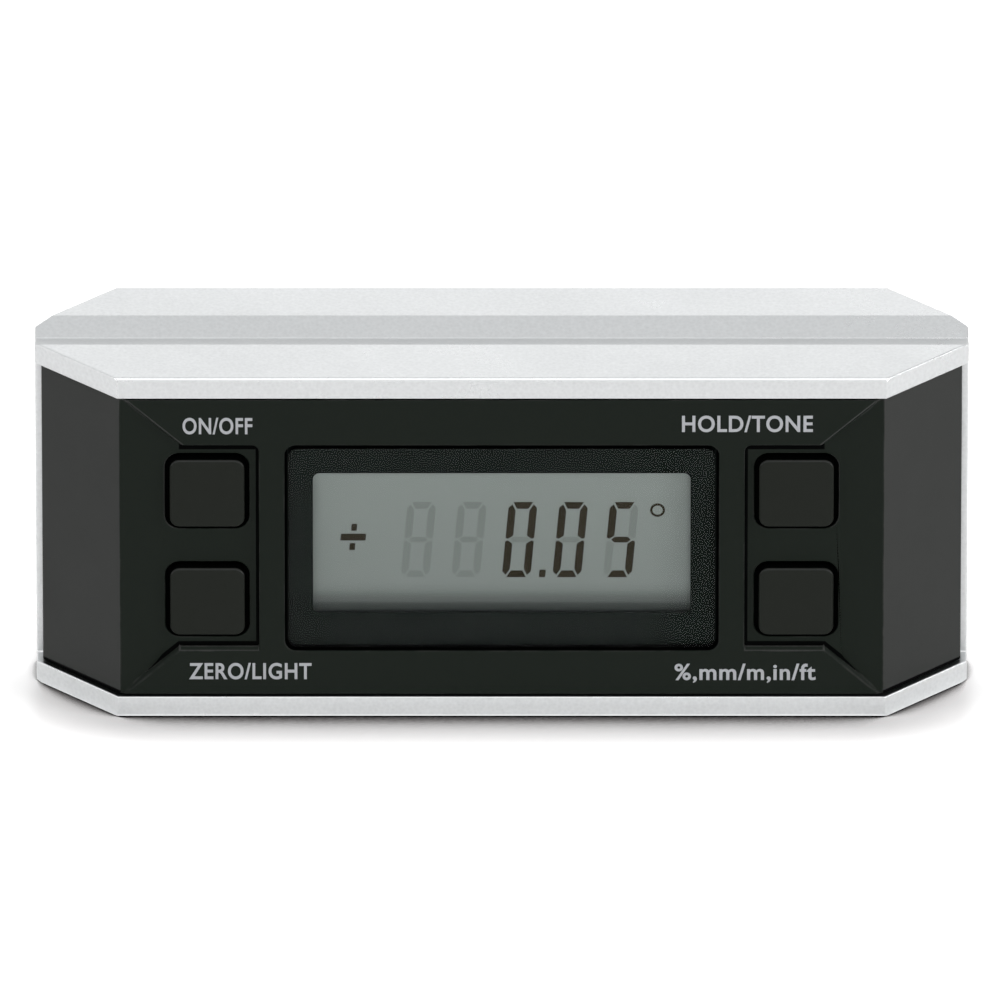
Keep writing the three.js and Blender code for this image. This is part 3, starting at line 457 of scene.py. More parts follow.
def painted_shadow_strips(shell, layer):
    """Strips of painted shadow on flat faces, which carry -1 for the near-black plastic.

    One lies under the recess's upper wall, where the groove runs, and one along the slanted sides' foot; both
    stand for the shade that falls there.
    """
    look = looks().housing

    def floor(face):
        return face.normal.y < -0.9 and all(on_recess_floor(corner.co) for corner in face.verts)

    def slanted(face):
        away = abs(face.calc_center_median().x)
        return abs(face.normal.x) > SLANT and away > SLANT_START * MILLIMETRE

    strip, knee = look.recess_top - look.top_shade_width, look.recess_knee
    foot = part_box("front_housing")[0].z + look.foot_shade_line
    cut(shell, floor, (0, 0, strip), (0, 0, 1))
    cut(shell, floor, (knee, 0, 0), (1, 0, 0))
    cut(shell, floor, (-knee, 0, 0), (1, 0, 0))
    cut(shell, slanted, (0, 0, foot), (0, 0, 1))
    # Faces of both strips take the near-black plastic as painted shadow
    for face in shell.faces:
        centre = face.calc_center_median()
        under_wall = floor(face) and centre.z > strip and abs(centre.x) < knee
        if under_wall or slanted(face) and centre.z < foot:
            face[layer] = -1


# Node groups for effects that several materials share


def fill(made, **inputs):
    """Links or sets a node's inputs, by name or, after an underscore, by number."""
    for name, value in inputs.items():
        socket = made.inputs[int(name[1:]) if name[0] == "_" else name.replace("_", " ")]
        if isinstance(value, bpy.types.NodeSocket):
            made.id_data.links.new(value, socket)
        else:
            socket.default_value = value
    return made


def node(tree, kind, settings=None, **inputs):
    """Adds a node, sets its settings and fills its inputs."""
    made = tree.nodes.new(kind)
    for name, value in (settings or {}).items():
        setattr(made, name, value)
    return fill(made, **inputs)


def new_group(name, output, **inputs):
    """A shader group with one value for its output. An input without a default is a place or a direction."""
    tree = bpy.data.node_groups.new(name, "ShaderNodeTree")
    for label, default in inputs.items():
        kind = "NodeSocketVector" if default is None else "NodeSocketFloat"
        socket = tree.interface.new_socket(label, in_out="INPUT", socket_type=kind)
        if default is not None:
            socket.default_value = default
    tree.interface.new_socket(output, in_out="OUTPUT", socket_type="NodeSocketFloat")
    return tree, tree.nodes.new("NodeGroupInput").outputs


def math_node(tree, operation, *values, clamp=False):
    inputs = {f"_{place}": value for place, value in enumerate(values)}
    return node(tree, "ShaderNodeMath", {"operation": operation, "use_clamp": clamp}, **inputs).outputs[0]


def times(tree, first, second):
    return math_node(tree, "MULTIPLY", first, second)


def ramp(tree, value, low, high, smooth=True):
    """A value's way from 0 at low to 1 at high, eased at both ends unless smooth is off."""
    kind = {"interpolation_type": "SMOOTHSTEP" if smooth else "LINEAR"}
    return node(tree, "ShaderNodeMapRange", kind, Value=value, From_Min=low, From_Max=high).outputs["Result"]


def noise(tree, place, scale, **settings):
    return node(tree, "ShaderNodeTexNoise", Vector=place, Scale=scale, **settings).outputs["Fac"]


def stepped(tree, value, levels):
    """A value turned into a colour by pairs of a position and a colour, in rising order."""
    steps = node(tree, "ShaderNodeValToRGB", Fac=value)
    stops = steps.color_ramp.elements
    for count, (position, level) in enumerate(levels):
        stop = stops[count] if count < 2 else stops.new(position)
        stop.position = position
        stop.color = opaque(level)
    return steps.outputs["Color"]


def close_group(tree, value):
    tree.links.new(value, tree.nodes.new("NodeGroupOutput").inputs[0])
    return tree


def grain_group():
    """Height of a fine cast or blasted grain: cloudy noise with pits where cells meet."""
    tree, given = new_group("Fine grain", "Height", Vector=None, Size=0.0002)
    scale = math_node(tree, "DIVIDE", 1.0, given["Size"])
    cloud = noise(tree, given["Vector"], scale, Detail=3.0, Roughness=0.6)
    pits = node(tree, "ShaderNodeTexVoronoi", Vector=given["Vector"], Scale=scale).outputs["Distance"]
    return close_group(tree, math_node(tree, "MULTIPLY_ADD", cloud, 0.6, times(tree, pits, 0.4)))


def wear_group():
    """Mask of polished edges: the edge mark, broken up by patches."""
    tree, given = new_group("Edge wear", "Mask", Vector=None, Edge=0.0, Patch=0.004, Amount=0.5)
    scale = math_node(tree, "DIVIDE", 1.0, given["Patch"])
    cloud = noise(tree, given["Vector"], scale, Detail=4.0, Roughness=0.65)
    masked = times(tree, ramp(tree, cloud, 0.42, 0.62), given["Edge"])
    return close_group(tree, math_node(tree, "MULTIPLY", masked, given["Amount"], clamp=True))


def handling_group():
    """Shift of faint smears: two scales of stretched cloud, multiplied."""
    tree, given = new_group("Handling marks", "Shift", Vector=None, Size=0.01, Strength=0.1)
    scale = math_node(tree, "DIVIDE", 1.0, given["Size"])
    broad = noise(tree, given["Vector"], scale, Detail=2.0, Distortion=0.8)
    streak = noise(tree, given["Vector"], times(tree, scale, 6.0), Detail=5.0, Roughness=0.7)
    return close_group(tree, times(tree, times(tree, broad, streak), given["Strength"]))


def dust_group():
    """Mask of settled dust: specks, only where the surface faces up."""
    tree, given = new_group("Settled dust", "Mask", Vector=None, Normal=None, Amount=0.1)
    up = node(tree, "ShaderNodeSeparateXYZ", _0=given["Normal"]).outputs["Z"]
    specks = noise(tree, given["Vector"], 900.0, Detail=6.0, Roughness=0.8)
    few = ramp(tree, specks, 0.55, 0.8, smooth=False)
    facing = times(tree, few, math_node(tree, "MAXIMUM", up, 0.0))
    return close_group(tree, math_node(tree, "MULTIPLY", facing, given["Amount"], clamp=True))


GROUP_MAKERS = {
    "Fine grain": grain_group,
    "Edge wear": wear_group,
    "Handling marks": handling_group,
    "Settled dust": dust_group,
}


def effect(tree, name, **inputs):
    """Places a shared effect in a material, with the material's own values."""
    group = bpy.data.node_groups.get(name) or GROUP_MAKERS[name]()
    return node(tree, "ShaderNodeGroup", {"node_tree": group}, **inputs).outputs[0]


# Materials


def opaque(rgb):
    return (*rgb, 1.0)


def scaled(rgb, factor):
    return [part * factor for part in rgb]


def tinted(tree, mask, plain, marked):
    """A colour that goes from plain to marked with the mask."""
    kind = bpy.types.NodeSocket
    first, second = (value if isinstance(value, kind) else opaque(value) for value in (plain, marked))
    return node(tree, "ShaderNodeMix", {"data_type": "RGBA"}, _0=mask, _6=first, _7=second).outputs[2]


def start_material(name):
    """An empty node material with its shader, and the object's coordinates."""
    made = bpy.data.materials.new(name)
    made.use_nodes = True
    tree = made.node_tree
    shader = tree.nodes["Principled BSDF"]
    place = tree.nodes.new("ShaderNodeTexCoord").outputs["Object"]
    return made, tree, shader, place


def link_bump(tree, shader, height, strength, distance):
    bump = node(tree, "ShaderNodeBump", Height=height, Strength=strength, Distance=distance)
    fill(shader, Normal=bump.outputs["Normal"])


def smeared(tree, shader, place, spread, least, strength=0.2):
    """Roughness that rises from its least value with handling marks of a given spread."""
    marks = effect(tree, "Handling marks", Vector=place, Size=spread, Strength=strength)
    fill(shader, Roughness=math_node(tree, "ADD", marks, least))


def surface(
    name,
    base,
    worn,
    roughness,
    grain,
    metallic=0.0,
    specular=0.5,
    wear=0.4,
    patch=0.004,
    dust=0.06,
    smear=0.02,
    bump=0.3,
    relief=0.02,
):
    """Common finish: grain in the bump, polished edges, smears in the roughness and dust on top."""
    made, tree, shader, place = start_material(name)
    fill(shader, Metallic=metallic, Specular_IOR_Level=specular)
    edge = node(tree, "ShaderNodeAttribute", {"attribute_name": "edge"}).outputs["Fac"]
    polished = effect(tree, "Edge wear", Vector=place, Edge=edge, Patch=patch, Amount=wear)
    height = effect(tree, "Fine grain", Vector=place, Size=grain)
    normal = tree.nodes.new("ShaderNodeNewGeometry").outputs["Normal"]
    settled = effect(tree, "Settled dust", Vector=place, Normal=normal, Amount=dust)
    marks = effect(tree, "Handling marks", Vector=place, Size=smear, Strength=0.24)
    speckled = ramp(tree, height, 0.2, 0.8, smooth=False)
    plain = tinted(tree, speckled, scaled(base, 0.93), scaled(base, 1.07))
    fill(shader, Base_Color=tinted(tree, settled, tinted(tree, polished, plain, worn), DUST))
    rough = math_node(tree, "ADD", marks, roughness - 0.06)
    gloss = times(tree, polished, -0.3 * roughness)
    fill(shader, Roughness=math_node(tree, "ADD", rough, gloss, clamp=True))
    link_bump(tree, shader, height, bump, relief * MILLIMETRE)
    return made


def glass_surface(name):
    """Clear moulded window: faint smears in the roughness, and light for what lies behind it."""
    made, tree, shader, place = start_material(name)
    smear = effect(tree, "Handling marks", Vector=place, Size=0.015, Strength=0.09)
    fill(shader, Transmission_Weight=1.0, IOR=1.13, Base_Color=(0.98, 0.99, 0.985, 1), Roughness=smear)
    clear = node(tree, "ShaderNodeBsdfTransparent", Color=(0.96, 0.97, 0.965, 1))
    light = tree.nodes.new("ShaderNodeLightPath").outputs
    either = math_node(tree, "MAXIMUM", light["Is Shadow Ray"], light["Is Diffuse Ray"])
    mix = node(tree, "ShaderNodeMixShader", Fac=either, _1=shader.outputs[0], _2=clear.outputs[0])
    fill(tree.nodes["Material Output"], Surface=mix.outputs[0])
    return made


def display_surface(look):
    """Idle liquid crystal: a grey-green field, with painted shade in a band along its foot and on its side
    borders.
    """
    made, tree, shader, place = start_material("display_glass")
    axes = node(tree, "ShaderNodeSeparateXYZ", _0=place).outputs
    foot, side, mm = look.window_foot, look.window_side, MILLIMETRE
    # Painted shade: the field darkens to the shade colour in a band along the window's foot
    height = ramp(tree, axes["Z"], foot, foot + 26 * mm, smooth=False)
    levels = [(0, 0), (0.045, 0.02), (0.066, 0.25), (0.085, 0.27), (0.11, 0.42), (0.15, 0.72)]
    levels += [(0.2, 0.86), (1, 1)]
    painted_foot_shade = stepped(tree, height, [(at, [level] * 3) for at, level in levels])
    # Painted shade: the field darkens towards the window's sides
    far = ramp(tree, axes["X"], side + 0.9 * mm, side - 0.9 * mm)
    near = ramp(tree, axes["X"], -side - 1.6 * mm, -side + 0.6 * mm)
    speck = effect(tree, "Fine grain", Vector=place, Size=0.4 * mm)
    grained = tinted(tree, times(tree, speck, 0.05), look.glass, scaled(look.glass, 0.8))
    inner = tinted(tree, times(tree, far, near), scaled(look.glass, 0.6), grained)
    fill(shader, Specular_IOR_Level=0.2, Base_Color=tinted(tree, painted_foot_shade, look.shade, inner))
    smeared(tree, shader, place, 0.02, 0.25)
    return made


def board_surface():
    """Green laminate: thin copper tracks under the lacquer, and vias."""
    made, tree, shader, place = start_material("green_laminate")
    turned = node(tree, "ShaderNodeMapping", Vector=place, Scale=(260.0, 1.0, 90.0)).outputs[0]
    lanes = node(tree, "ShaderNodeTexBrick", Vector=turned, Scale=1.0, Mortar_Size=0.03).outputs["Fac"]
    grooves = node(tree, "ShaderNodeTexVoronoi", {"feature": "DISTANCE_TO_EDGE"}, Vector=place, Scale=240.0)
    both = math_node(tree, "MAXIMUM", ramp(tree, grooves.outputs["Distance"], 0.07, 0.04), lanes)
    green = tinted(tree, both, (0.012, 0.085, 0.034), (0.03, 0.16, 0.06))
    fill(shader, Specular_IOR_Level=0.5, Base_Color=green)
    smeared(tree, shader, place, 0.02, 0.28)
    link_bump(tree, shader, both, 0.4, 0.03 * MILLIMETRE)
    return made


def jacket_surface(name, look, node_name, positive):
    """Battery sleeve: its colour, with a fine grain, and a pale band at the positive end."""
    made, tree, shader, place = start_material(name)
    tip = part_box(node_name)[1 if positive > 0 else 0].x
    along = node(tree, "ShaderNodeSeparateXYZ", _0=place).outputs["X"]
    start, end = (tip - positive * width * MILLIMETRE for width in (11.2, 11))
    band = ramp(tree, along, start, end)
    speck = effect(tree, "Fine grain", Vector=place, Size=0.3 * MILLIMETRE)
    sleeve = tinted(tree, speck, scaled(look.jacket, 0.9), scaled(look.jacket, 1.1))
    fill(shader, Metallic=0.3, Specular_IOR_Level=0.5, Base_Color=tinted(tree, band, sleeve, look.band))
    smeared(tree, shader, place, 0.01, 0.22, strength=0.3)
    link_bump(tree, shader, speck, 0.15, 0.01 * MILLIMETRE)
    return made


def plastic(name, base, roughness=0.5, grain=0.2, **options):
    worn = [min(1.0, part * 1.6 + 0.02) for part in base]
    return surface(name, base, worn, roughness, grain * MILLIMETRE, **options)


def metal(name, base, roughness=0.3, grain=0.1, **options):
    worn = [min(1.0, part * 1.12) for part in base]
    return surface(name, base, worn, roughness, grain * MILLIMETRE, metallic=1.0, relief=0.004, **options)


# Pieces of the casing


def make_frame():
    """Frame: blasted all over; the groove walls, the faces that face fore or aft only a little, take a darker
    copy of the metal as painted shade.
    """
    look = looks().casing
    finish = {"metallic": 1.0, "wear": 0.2, "patch": 0.02, "dust": 0.02, "smear": 0.05}
    finish |= {"bump": 0.15, "relief": 0.006}
    worn = (0.78, 0.785, 0.79)
    blasted, groove_shade = (
        surface(name, base, worn, look.roughness, look.grain, **finish)
        for name, base in (("satin_aluminium", look.metal), ("shaded_groove_aluminium", look.groove))
    )
    piece = softened("frame", "grooved_frame", look.edge_radius, steps=3, lips=True)
    placed(piece, "case", "frame_aluminium", blasted, "frame")
    normals, centres = face_arrays(piece.data)
    # Groove walls take the darker copy of the metal: painted shade
    sort_faces(piece, between(np.abs(normals[:, 1]), (0.2, 0.35)), groove_shade)


def housing_material(name, base, specular):
    look = looks().housing
    finish = {"specular": specular, "wear": 0.35, "patch": 0.005, "smear": 0.04, "bump": 0.35, "dust": 0.05}
    made = bpy.data.materials.get(name)
    return made or surface(name, base, look.worn, look.roughness, look.grain, **finish)


def face_material():
    return housing_material("black_face", looks().housing.face, 0.14)


def make_housings():
    """Both housing halves: polished faces, a lighter and glossier copy of the plastic on the slanted sides as
    painted light, and near-black painted shade in the grooves, dark strips, key shafts and window pocket.
    """
    look = looks().housing
    # Lighter, glossier copy of the face plastic: painted light on the sides and painted highlights on some
    # rounded edges
    sides = housing_material("painted_light_side", look.side, 0.37)
    # Near-black plastic that is painted shade, for grooves, dark strips, key shafts, the window's pocket and
    # rim and the caps' sunk walls
    painted_shade = plastic("painted_shade_black", (0.0008, 0.001, 0.001), 0.7, specular=0.02, wear=0, dust=0)
    front = ("front_housing", "front_shell", recess_shade_groove, painted_shadow_strips)
    rear = ("rear_cover", "rear_shell", None, None)
    for node_name, name, groove, strips in (front, rear):
        piece = softened(node_name, name, look.edge_radius, groove=groove, shade=strips)
        placed(piece, "case", "housing_plastic", face_material(), node_name)
        sort_faces(piece, housing_kinds(piece.data), sides, painted_shade)


def housing_kinds(mesh):
    """Finish of each face of a housing half, by its direction and its place in millimetres.

    0 is the polished face. 1 is a lighter, glossier copy of the plastic: painted light on the slanted sides,
    and painted highlights on the rounded edges over the recess and on its sill. 2 is the near-black painted
    shade of grooves, dark strips, key shafts and the window's pocket.
    """
    normals, centres = face_arrays(mesh)
    marks = np.empty(len(mesh.polygons))
    mesh.attributes["edge"].data.foreach_get("value", marks)
    across, fore, up = np.abs(normals).T
    side, depth, height = centres.T / MILLIMETRE
    away = np.abs(side)
    recess_side, recess_middle, rim_depth = 51.5, 30, -14.5
    slanted = (across > SLANT) & (away > SLANT_START)
    rounded = (marks > 0) & (fore > 0.2) & (depth < rim_depth)
    # Rounded lips over the recess and on its sill take the glossier copy as painted highlights
    upper = rounded & (across > 0.15) & (away > recess_side) & (height > recess_middle)
    sill = rounded & (up > 0.3) & between(away, (38.5, 52)) & between(height, (11, 13))
    shafts = (fore < 0.3) & between(away, (40, 55)) & between(depth, (-14.7, -11))
    pocket = (away < 36) & between(depth, (-15.98, -14))
    kinds = np.where(slanted | upper | sill, 1, 0)
    # Grooves, strips, key shafts and the window's pocket take the near-black plastic as painted shade
    kinds[(marks < 0) | shafts | pocket] = 2
    return kinds


def make_door():
    """Battery door: its own shape, with edges eased a little less than the housing's."""
    piece = softened("battery_door", "sliding_door", looks().housing.edge_radius * 0.7)
    placed(piece, "door", "housing_plastic", face_material(), "battery_door")


def make_caps():
    """Caps as stacks of rounded squares: flange, wall, rounded front edge and a shallow crown.

    The crown's height falls off with the square of the share of the half width.
    """
    look = looks().buttons
    finish = {"specular": 0.14, "grain": 0.12, "wear": 0.7, "dust": 0.05, "smear": 0.008}
    material = plastic("cap_plastic", look.plastic, look.roughness, **finish)
    others = [bpy.data.materials[name] for name in ("painted_shade_black", "painted_light_side")]
    margin, reach, thickness, ease, corner = np.array([1.65, 3.1, 0.8, 0.1, 1.6]) * MILLIMETRE
    radius = look.edge_radius
    away, down = quarter(radius, 6)
    shares = np.array([0.12, 0.3, 0.5, 0.7, 0.85])
    for key in BUTTONS:
        node_name = key + "_button"
        front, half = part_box(node_name)[0].y, size(node_name)[0] / 2
        edge, flange = front + look.crown, front + reach
        rear = flange + thickness
        crown_insets = margin + radius + (half - margin - radius) * shares
        insets = [ease, 0, 0, ease, margin, margin, *(margin + away), *crown_insets]
        depths = [rear, rear - ease, flange + ease, flange, flange, edge + radius, *(edge + down)]
        depths += [*(front + look.crown * (1 - shares) ** 2)]
        rings = rounded_stack(middle(node_name), half, half, margin + corner, insets, depths)
        piece = wrapped(key + "_cap", rings, key + "_key", "button_plastic", material, node_name)
        normals, centres = face_arrays(piece.data)
        # Walls deep in the hole take the near-black plastic as painted shade, the upper rounding the glossier
        # side plastic as a painted highlight
        sunk_in_shade = centres[:, 1] > edge + radius + 0.2 * MILLIMETRE
        highlight_edge = (normals[:, 2] > 0.3) & (normals[:, 1] < -0.3)
        sort_faces(piece, np.where(sunk_in_shade, 1, np.where(highlight_edge, 2, 0)), *others)


def make_window():
    """Clear window: a rounded rectangle, a little smaller than its pocket, with quarter arcs for edges.

    Its rim takes the near-black painted shade, as the pocket round it does, so the gap round it reads dark.
    """
    node_name = "display_window"
    low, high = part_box(node_name)
    gap = ease = 0.18 * MILLIMETRE
    half = size(node_name) / 2 - gap
    away, down = quarter(ease, 4)
    insets = [*away[::-1], *away]
    depths = [*(high.y - down[::-1]), *(low.y + down)]
    rings = rounded_stack(middle(node_name), half[0], half[2], 1.4 * MILLIMETRE, insets, depths)
    clear = glass_surface("clear_acrylic")
    piece = wrapped("clear_window", rings, "case", "window_clear", clear, node_name, crease=25)
    normals, centres = face_arrays(piece.data)
    # Rim faces take the near-black plastic as painted shade
    sort_faces(piece, np.abs(normals[:, 1]) < 0.6, bpy.data.materials["painted_shade_black"])
    finish = {"specular": 0.05, "grain": 0.1, "dust": 0, "bump": 0.01}
    dress("window_mask", plastic("border_print", (0.002, 0.004, 0.003), 0.35, **finish))


# Display


SEGMENTS = {
    "0": "abcdef",
    "1": "bc",
    "2": "abdeg",
    "3": "abcdg",
    "4": "bcfg",
    "5": "acdfg",
    "6": "acdefg",
    "7": "abc",
    "8": "abcdefg",
    "9": "abcdfg",
    "-": "g",
    " ": "",
}


def figure(look):
    """Outlines of the seven segments of one figure, six corners each, in the order a to g."""
    w, h, t = look.digit_width, look.digit_height, look.stroke
    mid, bar = h / 2, 0.42 * t
    top = [
        [0.6 * t, h],
        [w / 2, h],
        [w - 0.6 * t, h],
        [w - 1.15 * t, h - t],
        [w / 2, h - t],
        [1.15 * t, h - t],
    ]
    left = [
        [0, mid + 0.3 * t],
        [0, h - 0.9 * t],
        [0.5 * t, h - 0.35 * t],
        [t, h - 1.3 * t],
        [t, mid + 0.62 * t],
        [0.35 * t, mid + 0.12 * t],
    ]
    centre = [
        [0.62 * t, mid],
        [1.05 * t, mid + bar],
        [w - 1.05 * t, mid + bar],
        [w - 0.62 * t, mid],
        [w - 1.05 * t, mid - bar],
        [1.05 * t, mid - bar],
    ]
    top, left, centre = np.array(top), np.array(left), np.array(centre)
    across, over = np.array([w, 0]), np.array([0, h])
    right = across + left * [-1, 1]
    flip = [1, -1]
    return np.array([top, right, over + right * flip, over + top * flip, over + left * flip, left, centre])


def make_reading():
    """Segments of the display as thin plates before its glass, leaning by the slant."""
    look = looks().display
    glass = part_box("lcd_panel")[0].y
    start = np.array([-16.24, 23.65]) * MILLIMETRE
    parts = look.reading.split(".")
    figures = "".join(parts).ljust(look.places)[: look.places]
    dots = np.cumsum([len(part) for part in parts[:-1]])
    lit, idle = [], []
    for place, character in enumerate(figures):
        for letter, outline in zip("abcdefg", figure(look)):
            outlines = lit if letter in SEGMENTS[character] else idle
            outlines.append(outline + start + [place * look.pitch, 0])
    box = np.array([[-1.0, -1], [0, -1], [1, -1], [1, 1], [0, 1], [-1, 1]])
    half, back = np.array([0.5, 0.66]) * MILLIMETRE, 1.65 * MILLIMETRE
    lit += [box * half + start + [place * look.pitch - back, half[1]] for place in dots]
    bar, over, under = ((30.85, 2.02, 0.6), (32.62, 0.45, 0.62), (29.15, 0.45, 0.62))
    for height, wide, tall in (bar, over, under):
        lit.append((box * [wide, tall] + [-24.45, height]) * MILLIMETRE)
    for name, outlines, tone in (("shown_segments", lit, look.lit), ("resting_segments", idle, look.idle)):
        flat = np.array(outlines)
        flat[..., 0] += (flat[..., 1] - start[1]) * math.tan(look.slant)
        vertices, faces = prisms(flat, glass - 0.04 * MILLIMETRE, glass - 0.01 * MILLIMETRE)
        ink = plastic(name, tone, 0.6, specular=0.1, wear=0, dust=0, bump=0.05)
        placed(new_piece(name, vertices, faces), "case", "lcd_glass", ink)
    make_degree_ring(glass)
    dress("lcd_panel", display_surface(look))


def make_degree_ring(glass):
    """Degree sign: four circles, outer and inner, front and rear, skinned into a flat ring."""
    radii = np.array([1.2, 1.2, 0.82, 0.82]) * MILLIMETRE
    depths = glass - np.array([0.04, 0.01, 0.01, 0.04]) * MILLIMETRE
    rings = turned_rings(radii, depths, 48) + np.array([25.0, 0, 35.7]) * MILLIMETRE
    piece = new_piece("degree_sign", rings, skin(rings, closed=True))
    placed(piece, "case", "lcd_glass", bpy.data.materials["shown_segments"])


# Legends


def letters(name, text, look, low, high, depth):
    """Printed words: outlined type made a thin plate, stretched between its two ends, standing on its foot.

    The plate reaches 0.004 mm to either side of its depth.
    """
    capital_share = 0.73
    curve = bpy.data.curves.new(name, "FONT")
    curve.body = text
    curve.extrude = 0.004
    curve.offset = look.weight
    curve.resolution_u = 6
    curve.space_character = 1.08
    typed = linked(name + "_type", curve)
    bpy.context.view_layer.update()
    mesh = bpy.data.meshes.new_from_object(typed.evaluated_get(bpy.context.evaluated_depsgraph_get()))
    bpy.data.objects.remove(typed)
    points = np.empty((len(mesh.vertices), 3))
    mesh.vertices.foreach_get("co", points.ravel())
    x, y, z = points.T
    across = low[0] + (x - x.min()) / (x.max() - x.min()) * (high - low[0])
    flat = np.stack([across, depth - z * MILLIMETRE, low[1] + y * look.height / capital_share], axis=-1)
    mesh.vertices.foreach_set("co", flat.ravel())
    mesh.update()
    recalculated(mesh)
    return linked(name, mesh)


def make_legends():
    """Legends by their lower left corner and their right end, in millimetres, just before the face."""
    look = looks().legends
    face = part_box("front_housing")[0].y - 0.006 * MILLIMETRE
    material = plastic("legend_ink", look.ink, 0.6, specular=0.3, grain=0.08, wear=0, dust=0.02)
    rows = [
        ("power_legend", look.upper_left, (-51.2, 50.95), -40.0),
        ("zero_legend", look.lower_left, (-50.3, 6.75), -30.6),
        ("hold_legend", look.upper_right, (28.9, 51.35), 49.9),
        ("unit_legend", look.lower_right, (27.8, 6.6), 50.5),
    ]
    for name, text, low, high in rows:
        piece = letters(name, text, look, np.array(low) * MILLIMETRE, high * MILLIMETRE, face)
        placed(piece, "case", "window_print", material)


# Fasteners


def make_screws():
    """Screws of two kinds, in millimetres: the head's radius and rise, the shank's radius and the reach."""
    look = looks().fasteners
    material = metal("blackened_steel", look.steel, 0.34)
    for kind, sizes in {"case_screw": (2.4, 1.7, 1.25, 18), "board_screw": (1.9, 1.2, 1, 6)}.items():
        head, rise, shank, reach = np.array(sizes) * MILLIMETRE
        rings = screw_rings(look, head, rise, shank, reach)
        for node_name in frame["nodes"]:
            if node_name.startswith(kind):
                centre = middle(node_name)
                seat = [centre[0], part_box(node_name)[1].y - rise, centre[2]]
                name = node_name + "_turned"
                wrapped(name, rings + seat, "case", "screw_steel", material, node_name, crease=30)


def screw_rings(look, head, rise, shank, reach):
    """One stack of loops: a cross recess, a crowned head, a threaded shank and a tip.

    The recess's edge lies where a plus sign does: at each angle the nearer of its arm's end and its side.
    The crown falls off as a circle does. The thread is a triangle wave of the height in pitches less the
    angle in turns.
    """
    arm, half = head * 0.66, 0.3 * MILLIMETRE
    corner = math.atan2(half, arm)
    spans = ((-np.pi / 4, -corner), (-corner, corner), (corner, np.pi / 4))
    arc = np.concatenate([np.linspace(*span, 5)[:-1] for span in spans])
    angle = (np.arange(4)[:, None] * np.pi / 2 + arc).ravel()
    local = np.tile(arc, 4)
    with np.errstate(divide="ignore"):
        recess = np.minimum(arm / np.cos(local), np.abs(half / np.sin(local)))
    around = np.ones_like(recess)
    face = np.array([recess + (head - recess) * blend for blend in (0, 0.25, 0.5, 0.75, 0.92, 1)])
    crown = rise * (0.62 + 0.38 * np.sqrt(np.maximum(0, 1 - (face / head) ** 2)))
    down = np.linspace(0.3 * MILLIMETRE, reach - shank, int(reach / look.thread_pitch * 8))[:, None] * around
    turns = down / look.thread_pitch - angle / (2 * np.pi)
    thread = shank - look.thread_depth * np.abs(turns - np.floor(turns) - 0.5) * 2
    stack = [
        (recess * 0.25, around * rise * 0.42),
        (recess * 0.86, around * rise * 0.45),
        (face, crown),
        (around * head, around * rise * 0.12),
        (around * head * 0.97, around * 0),
        (around * shank, around * 0),
        (thread, -down),
        (around * shank * 0.5, around * (shank * 0.4 - reach)),
        (around * shank * 0.08, around * -reach),
    ]
    radii, heights = (np.vstack(part) for part in zip(*stack))
    return np.stack([radii * np.cos(angle), heights, radii * np.sin(angle)], axis=-1)


# Power


def make_cells():
    """Cells as surfaces of revolution about X: crimped base, sleeve with its shoulder, and contact nub."""
    look = looks().power
    bare = metal("cell_ends", (0.62, 0.62, 0.61), 0.3)
    for node_name, positive in (("battery_upper", -1), ("battery_lower", 1)):
        low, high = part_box(node_name)
        long, depth, tall = size(node_name) / MILLIMETRE
        r = tall / 2
        base = [(0.3, 0.1), (r - 1.6, 0.1), (r - 1.2, 0), (r - 0.5, 0), (r - 0.1, 0.15)]
        sleeve = [(r, 0.5), (r, long - 1.6), (r - 0.1, long - 1.2), (r - 0.6, long - 0.95)]
        nub = [(2.5, long - 0.95), (2.2, long - 1), (1.9, long - 0.85), (1.9, long - 0.2)]
        nub += [(1.7, long), (0.3, long)]
        turned = turned_rings(*np.array(base + sleeve + nub).T * MILLIMETRE)
        start = [low.x if positive > 0 else high.x, *middle(node_name)[1:]]
        rings = turned[..., [1, 0, 2]] * [positive, 1, 1] + start
        jacket = jacket_surface("sleeve_" + node_name, look, node_name, positive)
        piece = wrapped(node_name + "_cell", rings, "case", "battery_jacket", jacket, node_name)
        loop = np.repeat(np.arange(len(rings) - 1), rings.shape[1])
        bared = (loop < len(base) - 1) | (loop > len(base + sleeve) - 2)
        sort_faces(piece, [*bared, True, True], bare)


def make_springs():
    """Contact springs: a tube on a cone, its radius falling evenly over the turns, its ends straight."""
    look = looks().power
    material = metal("spring_nickel", (0.60, 0.60, 0.58), 0.22)
    wide, narrow = 3.3 * MILLIMETRE, 2.2 * MILLIMETRE
    for row, side in (("upper", -1), ("lower", 1)):
        node_name = "battery_spring_" + row
        low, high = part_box(node_name)
        long = high.x - low.x
        run_in = 2 * look.spring_wire
        along = np.linspace(0, 1, look.curls * 48 + 1)
        angle = 2 * np.pi * look.curls * along
        radius = wide + (narrow - wide) * along
        x = run_in + (long - 2 * run_in) * along
        helix = np.stack([x, radius * np.cos(angle), radius * np.sin(angle)], axis=-1)
        path = np.concatenate([[[0, wide, 0]], helix, [[long, narrow, 0]]])
        rings = tube_rings(path, path * [0, 1, 1], look.spring_wire, 12)
        start = [low.x if side > 0 else high.x, *middle("battery_" + row)[1:]]
        rings = rings * [side, 1, side] + start
        wrapped(node_name + "_wound", rings, "case", "nickel_contact", material, node_name)


